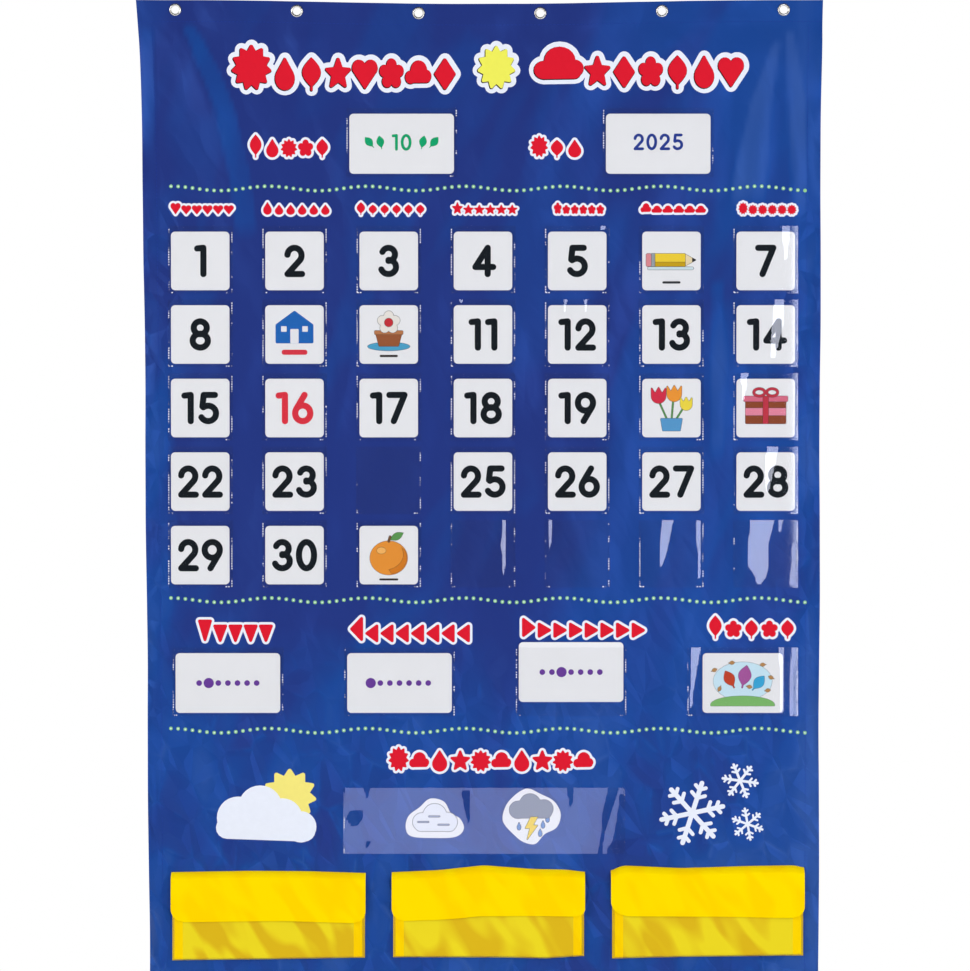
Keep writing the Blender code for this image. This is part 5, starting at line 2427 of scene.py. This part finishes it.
def pot_picture() -> Picture:
    """Paint a brown pot with a flower on a blue saucer.

    Returns:
        The picture.
    """
    petals = tuple(disc(spot, 5.2) for spot in arc((0, 13), (7.4, 7.4), 90, 378, 4))
    return Picture((
        ("blue_saucer", "#4FA3C7", (area(arc((0, -13), (23, 4.6), 0, 350, 26)),)),
        ("brown_pot", "#9B5B38", (area([(-10, -12), (10, -12), (13.5, 1), (-13.5, 1)], 0.8),)),
        ("light_rim", "#B97A50", (bar(-15.5, 15.5, 0, 4.2, 1.0),)),
        ("green_stem", "#5E9A54", (stroke([(0, 4.5), (0, 10)], 1.0),)),
        ("white_petals", "#E9E4DC", petals),
        ("red_heart", "#C8343C", (disc((0, 13), 4.6),)),
        ("caption", "#3A3432", (caption_bar(),)),
    ))


def tulip_picture() -> Picture:
    """Paint three tulips and a small blue can.

    Returns:
        The picture.
    """
    def cup(x: float, y: float, size: float) -> Outline:
        """Give one tulip's cup.

        Args:
            x: Its middle across the card.
            y: Its middle up the card.
            size: Its width.

        Returns:
            The cup's area.
        """
        shape = [(-0.5, 0.55), (-0.25, 0.15), (0, 0.6), (0.25, 0.15), (0.5, 0.55)]
        low = arc((0, 0), (0.5, 0.5), 0, -180, 10)
        return area([(x + a * size, y + b * size) for a, b in shape + low], 0.6)

    return Picture((
        ("green_stem", "#5E9A54", tuple(
            stroke([top, (foot, -14)], 0.8) for top, foot in (((-14, 8), -4), ((2, 10), 0), ((14, 2), 4))
        )),
        ("red_cup", "#D5344B", (cup(-14, 13, 15),)),
        ("orange_cup", "#EE9A3A", (cup(3, 15, 15),)),
        ("yellow_cup", "#EFD94A", (cup(16, 4, 12),)),
        ("blue_can", "#5B9CCB", (area([(-9, -24), (9, -24), (11, -12), (-11, -12)], 0.8),)),
    ))


def gift_picture() -> Picture:
    """Paint a pink and brown gift box.

    Returns:
        The picture.
    """
    return Picture((
        ("brown_box", "#8E4A2F", (bar(-22, 22, -17, 9, 1.2),)),
        ("pink_band", "#E58AA0", (bar(-22, 22, -8, 0, 0.5),)),
        ("pink_lid", "#D86F86", (bar(-24, 24, 7, 13, 1.2),)),
        ("red_ribbon", "#C23A4A", (bar(-3, 3, -17, 13, 0.4),)),
        ("red_bow", "#C23A4A", (
            stroke(arc((-7, 17), (6, 4), -20, 330, 16), 1.3, closed=True),
            stroke(arc((7, 17), (6, 4), 200, 550, 16), 1.3, closed=True),
        )),
    ))


def orange_picture() -> Picture:
    """Paint an orange with its leaf.

    Returns:
        The picture.
    """
    return Picture((
        ("orange_skin", "#E8963A", (area(arc((0, -3), (20.5, 18.5), 0, 350, 32)),)),
        ("deep_shade", "#D67F28", (
            area(arc((0, -3), (19.5, 17.5), -80, 30, 14) + arc((-4, 1), (20, 17), 25, -78, 14)),
        )),
        ("light_glow", "#F4B765", (area(arc((-8, 5), (5, 3.6), 0, 345, 16)),)),
        ("green_leaf", "#5E9A54", tuple(
            line.placed((8, 20), 11, 18, -62) for line in unit_motif(Motif.LEAF)
        )),
        ("brown_stalk", "#7A5638", (stroke([(0, 15), (1.5, 20)], 1.2),)),
        ("caption", "#3A3432", (bar(-10, 10, -27.2, -25.6, 0.8),)),
    ), 0.3)


def house_picture() -> Picture:
    """Print a plain blue house over a short red bar.

    Returns:
        The picture.
    """
    return Picture((
        ("blue_house", "#2567B5", (area([(-19, -8), (19, -8), (19, 10), (0, 24), (-19, 10)], 1.6),)),
        ("white_door", "#E9E9EC", (
            bar(-4.5, 4.5, -9.5, 6, 1.0), bar(-14.5, -8.5, 3, 9, 0.6), bar(8.5, 14.5, 3, 9, 0.6),
        )),
        ("red_bar", "#D83A48", (bar(-14, 14, -22, -16.5, 2.6),)),
    ), 0.0)


def leaf_picture() -> Picture:
    """Paint three autumn leaves above a green hill.

    Returns:
        The picture.
    """
    def leaf(x: float, y: float, size: float, turn: float) -> tuple[Outline, ...]:
        """Give one leaf."""
        return tuple(line.placed((x, y), size * 0.8, size, turn) for line in unit_motif(Motif.LEAF))

    small = ((-31, 14), (-25, -6), (-12, 22), (22, 20), (31, 6), (27, -8), (7, -4))
    return Picture((
        ("pale_sky", "#CBE6F1", (area(arc((0, 2), (32, 21), 0, 350, 30)),)),
        ("green_hill", "#7FB96C", (
            area([(-34, -24), (34, -24)] + arc((0, -24), (34, 9), 10, 170, 16), 1.0),
        )),
        ("small_leaves", "#B98A55", tuple(line for x, y in small for line in leaf(x, y, 7, 37 * x))),
        ("red_leaf", "#C4472E", leaf(-14, 4, 21, 28)),
        ("violet_leaf", "#A85A9C", leaf(2, 7, 25, -12)),
        ("blue_leaf", "#3FA9D6", leaf(17, 0, 20, -40)),
    ), 0.25)


@dataclass
class DateCards:
    """The loose date cards: plain numbers, and a few pictures.

    Attributes:
        corner: Radius of a card's corners.
        numerals: How its number is drawn.
        red_date: The one number in red.
    """

    corner: float = 4.5
    numerals: Numerals = Numerals(height=35.2, pen=6.8)
    red_date: int = 16

    def pictures(self) -> dict[int, Callable[[], Picture]]:
        """Give the dates that have a picture instead of a number.

        Returns:
            What paints each date's picture.
        """
        return {
            6: pencil_picture, 9: house_picture, 10: pot_picture,
            20: tulip_picture, 21: gift_picture, 31: orange_picture,
        }

    def build(self) -> None:
        """Make each card, and print it."""
        pictures = self.pictures()
        black = card_ink("black", "#171D22")
        red = card_ink("red", "#DC3644")
        dates = sorted(int(name[-2:]) for name in frame["nodes"] if name.startswith("date_card_"))
        for date in dates:
            node = f"date_card_{date:02d}"
            face = CardFace(node)
            card_plate(f"{node}_plate", face, rounded_border(*face.size, self.corner), node)
            if date in pictures:
                pictures[date]().paint(node, face, node)
                continue
            outlines = self.numerals.write(str(date), (0.0, 0.0))
            ink = red if date == self.red_date else black
            print_shape(f"{node}_number", outlines, face, 0.05, ink, node)


@dataclass
class WordCards:
    """The larger loose cards for month, year, days and season.

    Attributes:
        corner: Radius of a card's corners.
        numerals: How a number on them is drawn.
    """

    corner: float = 4.5
    numerals: Numerals = Numerals(height=18.0, pen=3.1, gap=2.4)

    def beads(self, day: int) -> list[Outline]:
        """Draw seven beads, the day's own one larger."""
        pitch, small, large = 10.4, 3.1, 5.6
        return [disc(((index - 3) * pitch, 0.0), large if index == day else small) for index in range(7)]

    def month_print(self) -> list[Outline]:
        """Draw the month's number between two pairs of leaves.

        Returns:
            The lines of both.
        """
        number = self.numerals.write("10", (0.0, 1.5))
        places = ((-35.0, 40.0), (-23.0, 12.0), (23.0, -12.0), (35.0, -40.0))
        return number + [
            line.placed((x, 1.5), 12.0, 15.0, turn) for x, turn in places for line in unit_motif(Motif.LEAF)
        ]

    def build(self) -> None:
        """Make each card, and print it."""
        green, blue = card_ink("green", "#18A46B"), card_ink("blue", "#2C4090")
        violet = card_ink("violet", "#6B3F97")
        prints = {
            "month_card": (self.month_print(), green),
            "year_card": (self.numerals.write("2025", (0.0, 2.0)), blue),
            "today_card": (self.beads(1), violet),
            "yesterday_card": (self.beads(0), violet),
            "tomorrow_card": (self.beads(2), violet),
        }
        for node in (*prints, "season_card"):
            face = CardFace(node)
            card_plate(f"{node}_plate", face, rounded_border(*face.size, self.corner), node)
            if node in prints:
                outlines, ink = prints[node]
                print_shape(f"{node}_print", outlines, face, 0.05, ink, node)
            else:
                leaf_picture().paint(node, face, node)


@dataclass
class WeatherPieces:
    """The two loose die-cut pieces: a plain cloud, and a storm cloud.

    Attributes:
        cloud_shares: The cloud's outline, as shares of its width and height.
        storm_shares: The storm cloud's.
    """

    cloud_shares: tuple[Point, ...] = (
        (0.10, 0.04), (0.50, 0.00), (0.86, 0.03), (1.00, 0.24), (0.93, 0.50),
        (0.78, 0.62), (0.66, 0.92), (0.42, 1.00), (0.24, 0.78), (0.05, 0.56), (0.00, 0.26),
    )
    storm_shares: tuple[Point, ...] = (
        (0.20, 0.18), (0.36, 0.06), (0.56, 0.03), (0.72, 0.20), (0.93, 0.32), (1.00, 0.56),
        (0.88, 0.78), (0.66, 0.90), (0.42, 1.00), (0.20, 0.88), (0.04, 0.68), (0.00, 0.42),
    )

    def border(self, shares: tuple[Point, ...], size: Point) -> list[Point]:
        """Run a smooth closed curve through the outline's shares of the piece's size.

        Args:
            shares: The outline's spots, as shares.
            size: The piece's width and height.

        Returns:
            The curve's points, turning left.
        """
        spots = np.array([((across - 0.5) * size[0], (up - 0.5) * size[1]) for across, up in shares])
        count, steps = len(spots), 6
        border = []
        for index in range(count):
            before, start, end, after = (spots[(index + offset) % count] for offset in (-1, 0, 1, 2))
            for step in range(steps):
                t = step / steps
                curve = 2 * start + (end - before) * t + (2 * before - 5 * start + 4 * end - after) * t ** 2
                curve = curve + (3 * start - before - 3 * end + after) * t ** 3
                border.append((float(curve[0]) / 2, float(curve[1]) / 2))
        return border

    def build(self) -> None:
        """Make both pieces, and print them."""
        cloud = CardFace("weather_cloud_piece")
        border = self.border(self.cloud_shares, cloud.size)
        card_plate("cloud_piece_plate", cloud, border, "weather_cloud_piece")
        puffs = (
            disc((-14, -4), 10), disc((0, 3), 13), disc((14, -4), 10.5), stroke([(-16, -9), (17, -9)], 5),
        )
        wind = tuple(stroke([(x, y), (x + 11, y)], 0.6) for x, y in ((-18, -4), (-6, 2), (4, -7)))
        layers = (("pale_cloud", "#E4E6EC", puffs), ("wind_lines", "#9DA6BC", wind))
        Picture(layers, ink=0.5).paint("cloud_piece", cloud, "weather_cloud_piece")
        storm = CardFace("weather_storm_piece")
        border = self.border(self.storm_shares, storm.size)
        card_plate("storm_piece_plate", storm, border, "weather_storm_piece")
        dark = (disc((-15, 8), 9.5), disc((-2, 14), 11.5), disc((13, 9), 10), stroke([(-16, 4), (16, 4)], 5))
        bolt = area([(-1, 0), (6, 0), (1, -9), (6, -9), (-5, -24), (-2, -12), (-7, -12)], 0.3)
        drops = tuple(
            line.placed(spot, 5.5, 8.5) for spot in ((-14, -10), (12, -8), (17, -1.5), (9, -17))
            for line in unit_motif(Motif.DROP)
        )
        layers = (
            ("blue_drops", "#6C8FC4", drops), ("grey_cloud", "#8B909B", dark),
            ("yellow_bolt", "#F0D22E", (bolt,)),
        )
        Picture(layers, ink=0.45).paint("storm_piece", storm, "weather_storm_piece")


# Storage pouches

Profile = tuple[Point, ...]


@dataclass(frozen=True)
class PouchForm:
    """How one pouch and its flap hang, a little out of true as sewn vinyl does.

    Each profile lists shares from the left side, -1, to the right side, 1, with a length there.

    Attributes:
        crown: How far the flap's fold lies below its highest point.
        hem: How far the flap's free edge hangs below its usual place.
        foot: How far the pouch's foot stands above its usual place.
        left_inset: How far the left side stands in.
        corners: Radii of the flap's lower corners, left and right.
    """

    crown: Profile
    hem: Profile
    foot: Profile
    left_inset: float
    corners: Point

    def along(self, profile: Profile, shares: np.ndarray) -> np.ndarray:
        """Read a profile at some shares, with its bends rounded off.

        Args:
            profile: Shares across with a length at each.
            shares: Where to read it.

        Returns:
            The length at each share.
        """
        places, values = zip(*profile)
        near = [np.interp(shares + offset, places, values) for offset in (-0.04, -0.02, 0.0, 0.02, 0.04)]
        return sum(near) / len(near)

    def set_off(self, x: np.ndarray, up: np.ndarray, half: float) -> tuple[np.ndarray, np.ndarray]:
        """Give how far a spot of the pouch stands in from its left side, and above its usual place.

        Args:
            x: Places from the pouch's middle.
            up: Shares of its height.
            half: Half its width.

        Returns:
            Both distances at each place.
        """
        inset = self.left_inset * (half - x) / (2 * half)
        lift = self.along(self.foot, x / half) * (1 - up) - self.along(self.crown, x / half) * up
        return inset, lift


POUCH_FORMS = (
    PouchForm(
        crown=((-1.0, 1.5), (-0.2, 0.0), (0.4, 0.4), (1.0, 2.4)), hem=((-0.8, 0.0), (0.2, -1.2), (0.85, 1.1)),
        foot=((-1.0, 1.8), (0.0, 3.0), (1.0, 4.7)), left_inset=0.6, corners=(15.0, 13.0),
    ),
    PouchForm(
        crown=((-1.0, 7.6), (-0.5, 5.2), (-0.04, 0.0), (0.5, 4.2), (0.8, 4.6), (1.0, 7.2)),
        hem=((-0.85, 4.9), (-0.5, 3.5), (-0.3, 2.2), (-0.1, -0.4), (0.5, -0.6), (0.85, 0.1)),
        foot=((-1.0, -0.8), (0.2, -1.2), (0.6, -2.2), (1.0, 0.6)), left_inset=2.4, corners=(14.0, 10.0),
    ),
    PouchForm(
        crown=((-1.0, 6.6), (-0.86, 0.2), (-0.26, 3.0), (0.42, 0.8), (0.9, 0.0), (1.0, 2.6)),
        hem=((-0.8, -0.4), (0.1, 0.2), (0.76, 1.4)),
        foot=((-1.0, -2.2), (-0.26, -0.5), (1.0, 1.1)), left_inset=2.2, corners=(18.0, 13.0),
    ),
)


@dataclass
class StoragePouches:
    """The three yellow pouches, each with a side band, a hazy window painted darker as shade, and a folded
    flap.

    Attributes:
        film: Thickness of the pouch's vinyl.
        seat: Gap between the sheet and the pouch's back.
        depth: How far the pouch's front stands off its back.
        gusset: Width over which its sides climb.
        band: Width of the bright bands beside the window.
        mouth_drop: From the top of the back to the front's free edge.
    """

    film: float = 0.4
    seat: float = 0.3
    depth: float = 7.0
    gusset: float = 2.6
    band: float = 13.0
    mouth_drop: float = 9.0

    def front_depth(self, across: np.ndarray, up: np.ndarray, half: float, index: int) -> np.ndarray:
        """Give how far the pouch's front stands off the sheet at each place.

        Args:
            across: Places from the pouch's middle.
            up: Places above its foot.
            half: Half its width.
            index: Which pouch.

        Returns:
            The distance at each place.
        """
        from_side = half - np.abs(across)
        climb = np.minimum(ease(from_side / (self.gusset * 1.25)), ease(up / self.gusset))
        slack = 0.5 * np.sin(across / 13.0 + 0.9 * index) * np.sin(up / 21.0 + across / 30.0)
        slack += 0.25 * np.sin(across / 5.1 - up / 8.0 + index)
        belly = ease((from_side - self.gusset) / 14.0) * ease(up / 18.0)
        return self.seat + self.film + (self.depth - self.film - 0.9) * climb + slack * 0.7 * belly

    def build_pouch(self, index: int) -> None:
        """Make one pouch: a back panel, and a front with its bands and window.

        Args:
            index: Which pouch, from the left.
        """
        low, high = box_mm(f"storage_pouch_{index + 1}")
        centre, half = (low[0] + high[0]) / 2, (high[0] - low[0]) / 2
        top, bottom = high[2], low[2]
        side = half - self.gusset * 1.3
        xs = np.concatenate([
            np.linspace(-half, -side, 7), np.linspace(-side, side, 72)[1:-1], np.linspace(side, half, 7),
        ])
        mouth = top - self.mouth_drop
        zs = np.concatenate([
            np.linspace(bottom, bottom + self.gusset, 6), np.linspace(bottom + self.gusset, mouth, 30)[1:],
        ])
        x, z = np.meshgrid(xs, zs)
        face = SHEET.thickness
        depth = self.front_depth(x, z - bottom, half, index)
        form = POUCH_FORMS[index]
        inset, lift = form.set_off(x, (z - bottom) / (mouth - bottom), half)
        front = np.stack([x + inset + centre, -(face + depth), z + lift], axis=2)
        inner = front + (0.0, self.film, 0.0)
        inner[..., 1] = np.minimum(inner[..., 1], -(face + self.seat))
        shell = make_shell(front, inner)
        columns = len(xs)
        finish_of_face = []
        for number in range(len(shell.faces)):
            column = number % (columns - 1) if number < 2 * shell.front_count else 0
            middle = abs((xs[column] + xs[column + 1]) / 2)
            # Faces between the bands take the window finish, with its painted shade.
            finish_of_face.append(1 if middle < half - self.band else 0)
        front_piece = add_piece(
            f"pouch_{index + 1}_front", shell.points, shell.faces, [POUCH, SHADED_WINDOW], CHART,
            finish_of_face=finish_of_face, sharp_angle=60,
        )
        x, z = np.meshgrid(np.linspace(-half, half, 60), np.linspace(bottom, top, 8))
        inset, lift = form.set_off(x, (z - bottom) / (top - bottom), half)
        back_film, behind = 0.3, 0.05
        y = np.full(x.shape, -(face + self.seat + back_film + behind))
        back_front = np.stack([x + inset + centre, y, z + lift], axis=2)
        back = make_shell(back_front, back_front + (0.0, back_film, 0.0))
        add_piece(f"pouch_{index + 1}_back", back.points, back.faces, [POUCH], CHART)
        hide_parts(f"storage_pouch_{index + 1}")

    def flap_section(self) -> list[Point]:
        """List the flap's section from its fold down, as depth from the sheet's face and height.

        Returns:
            The section's corners.
        """
        fold_depth = self.seat + self.film / 2
        panel = self.seat + self.depth + self.seat
        run = panel - fold_depth
        bulge = 0.5
        section = []
        for share in np.linspace(0.0, 0.9, 10):
            out = bulge * math.sin(math.pi * share)
            section.append((fold_depth + run * share + out, -run * share + out))
        return section + [(panel - 0.15, -run * 1.02), (panel, -run * 1.15)]

    def build_flap(self, index: int) -> None:
        """Make one flap, which bends over the pouch's mouth and hangs down its front.

        Args:
            index: Which flap, from the left.
        """
        node = f"storage_flap_{index + 1}"
        low, high = box_mm(node)
        centre, half = (low[0] + high[0]) / 2, (high[0] - low[0]) / 2
        top, bottom = high[2], low[2]
        section = self.flap_section()
        depths = np.array([depth for depth, _ in section])
        drops = np.array([drop for _, drop in section])
        hanging = np.linspace(top + drops[-1], bottom, 26)[1:]
        heights = np.concatenate([top + drops, hanging])
        rows = len(heights)
        depths = np.concatenate([depths, np.full(len(hanging), depths[-1])])
        shares = np.linspace(-1, 1, 91)
        form = POUCH_FORMS[index]
        front = np.zeros((rows, len(shares), 3))
        for row in range(rows):
            above_foot = heights[row] - bottom
            cuts = []
            for corner in form.corners:
                cut = max(corner - above_foot, 0.0)
                cuts.append(corner - math.sqrt(max(corner ** 2 - cut ** 2, 0.0)))
            left, right = -half + form.left_inset * 0.8 + cuts[0], half - cuts[1]
            x = left + (right - left) * (shares + 1) / 2
            hang = max(0.0, (top + drops[-1] - heights[row]) / (top + drops[-1] - bottom))
            wave = 0.55 * np.sin(x / 26.0 + 1.8 * index) + 0.3 * np.sin(x / 11.0 + index) + 0.35
            drop = form.along(form.crown, x / half) * (1 - hang)
            drop = drop + form.along(form.hem, x / half) * hang
            forward = hang * np.maximum(wave, -0.1) + 0.35 * math.sin(math.pi * hang)
            y = -(SHEET.thickness + depths[row] + self.film + forward)
            front[row] = np.stack([centre + x, y, heights[row] - drop], axis=1)
        front = front[::-1]
        back = front + (0.0, self.film, 0.0)
        shell = make_shell(front, back)
        flap = add_piece(f"pouch_flap_{index + 1}", shell.points, shell.faces, [FLAP], None, sharp_angle=60)
        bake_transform(flap)
        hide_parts(node)

    def build(self) -> None:
        """Make the three pouches with their flaps."""
        for index in range(3):
            self.build_pouch(index)
            self.build_flap(index)


# Studio


@dataclass
class Studio:
    """A plain pale room: camera square to the chart, soft lights, a pale floor.

    Attributes:
        distance: From the lens to the chart's face.
        scale: Millimetres of the chart for each pixel of the photograph.
        picture: Height of the photograph in pixels.
        aim: Point of the chart that the middle of the view falls on, as X and Z.
        sensor: Height of the camera's sensor.
        floor: Height of the floor.
        floor_glow: How much paler the floor looks than its lit face, towards the room's white.
    """

    distance: float = 3000.0
    scale: float = 1.0855
    picture: float = 971.0
    aim: Point = (6.0, -516.5)
    sensor: float = 36.0
    floor: float = -1400.0
    floor_glow: float = 0.35

    def add_camera(self) -> None:
        """Set the camera square to the sheet."""
        data = bpy.data.cameras.new("Camera")
        data.sensor_width = self.sensor
        data.lens = self.sensor * self.distance / (self.picture * self.scale)
        camera = bpy.data.objects.new("Camera", data)
        camera.location = (self.aim[0] * MM, -(self.distance + SHEET.thickness) * MM, self.aim[1] * MM)
        camera.rotation_euler = (math.pi / 2, 0.0, 0.0)
        bpy.context.scene.collection.objects.link(camera)
        bpy.context.scene.camera = camera

    def add_panel(
        self, name: str, place: tuple[float, float, float], size: Point, radiance: float,
        colour: str = "#FFFFFF",
    ) -> None:
        """Hang a soft rectangular light that faces the chart.

        Args:
            name: The light's name.
            place: Its middle in metres.
            size: Its width and height in metres.
            radiance: How bright its face is, where a white background is 1.
            colour: Of its light.
        """
        data = bpy.data.lights.new(name, "AREA")
        data.shape = "RECTANGLE"
        data.size, data.size_y = size
        data.energy = radiance * math.pi * size[0] * size[1]
        data.color = linear(colour)[:3]
        light = bpy.data.objects.new(name, data)
        light.location = place
        toward = Vector((self.aim[0] * MM, 0.0, self.aim[1] * MM)) - Vector(place)
        light.rotation_euler = toward.to_track_quat("-Z", "Y").to_euler()
        light.visible_camera = False
        bpy.context.scene.collection.objects.link(light)

    def add_lights(self) -> None:
        """Light the chart from both sides, with one panel that the film mirrors."""
        self.add_panel("left softbox", (-2.1, -2.3, 0.55), (1.3, 1.5), 5.4)
        self.add_panel("right softbox", (2.4, -2.2, 0.2), (1.0, 1.6), 4.3)
        self.add_panel("left strip", (-1.3, -2.9, -0.25), (0.3, 1.5), 5.0)
        self.add_panel("window panel", (0.98, -3.0, -0.45), (0.62, 1.5), 6.0, "#E7ECFF")
        self.add_panel("low window", (0.006, -2.0, -1.22), (0.60, 0.30), 2.5, "#CCD2FF")

    def add_world(self) -> None:
        """Make the room white behind the chart and dimmer in front of it."""
        world = bpy.data.worlds.new("Room")
        world.use_nodes = True
        tree = world.node_tree
        tree.nodes.clear()
        ambient, front_glow = 0.42, 0.03
        rays = add_node(tree, "ShaderNodeLightPath")
        direction = add_node(tree, "ShaderNodeTexCoord").outputs["Generated"]
        parts = add_node(tree, "ShaderNodeSeparateXYZ", {0: direction})
        behind = add_node(
            tree, "ShaderNodeMapRange", {0: parts.outputs["Y"], 1: 0.0, 2: 0.4, 3: front_glow, 4: 1.0},
        )
        mirrored = add_node(
            tree, "ShaderNodeMath",
            {0: rays.outputs["Is Glossy Ray"], 1: rays.outputs["Is Transmission Ray"]}, operation="MAXIMUM",
        )
        seen = add_node(
            tree, "ShaderNodeMix",
            {"Factor": mirrored.outputs[0], "A": ambient, "B": behind.outputs["Result"]},
        )
        strength = add_node(
            tree, "ShaderNodeMix",
            {"Factor": rays.outputs["Is Camera Ray"], "A": seen.outputs["Result"], "B": 1.0},
        )
        light = {"Color": linear("#FFFFFF"), "Strength": strength.outputs["Result"]}
        background = add_node(tree, "ShaderNodeBackground", light)
        add_node(tree, "ShaderNodeOutputWorld", {"Surface": background.outputs[0]})
        bpy.context.scene.world = world

    def add_floor(self) -> None:
        """Lay a pale floor below the chart."""
        side, front, back = 3.5, -2.5, 1.9
        mesh = bpy.data.meshes.new("floor")
        height = self.floor * MM
        corners = ((-side, front), (side, front), (side, back), (-side, back))
        mesh.from_pydata([(x, y, height) for x, y in corners], [], [(0, 1, 2, 3)])
        material = bpy.data.materials.new("pale floor")
        material.use_nodes = True
        tree = material.node_tree
        rays = add_node(tree, "ShaderNodeLightPath")
        seen = add_node(
            tree, "ShaderNodeMath", {0: rays.outputs["Is Camera Ray"], 1: rays.outputs["Is Glossy Ray"]},
            operation="MAXIMUM",
        )
        shining = {0: seen.outputs[0], 1: self.floor_glow}
        glow = add_node(tree, "ShaderNodeMath", shining, operation="MULTIPLY")
        shader = tree.nodes["Principled BSDF"]
        shader.inputs["Base Color"].default_value = linear("#F2F2F0")
        shader.inputs["Roughness"].default_value = 0.9
        shader.inputs["Emission Color"].default_value = linear("#FFFFFF")
        tree.links.new(glow.outputs[0], shader.inputs["Emission Strength"])
        mesh.materials.append(material)
        floor = bpy.data.objects.new("floor", mesh)
        bpy.context.scene.collection.objects.link(floor)
        floor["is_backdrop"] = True

    def build(self) -> None:
        """Set the camera, the lights, the room and the floor."""
        self.add_camera()
        self.add_lights()
        self.add_world()
        self.add_floor()
        bpy.context.scene.view_settings.view_transform = "Standard"


def main() -> None:
    """Dress the whole chart, one sub-assembly after another, and report each piece."""
    logging.basicConfig(level=logging.INFO, format="%(message)s")
    face = SheetFace(SHEET, POCKETS)
    reported: set[str] = set()
    for part in (
        Studio(), BackingSheet(face), Eyelets(), SheetPrints(face), ClearPockets(), DateCards(), WordCards(),
        WeatherPieces(), StoragePouches(),
    ):
        part.build()
        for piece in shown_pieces():
            if piece.name not in reported:
                reported.add(piece.name)
                LOG.info("%s: %s, %d faces", type(part).__name__, piece.name, len(piece.data.polygons))
    LOG.info("pieces: %d", len(reported))


if __name__ == "__main__":
    main()
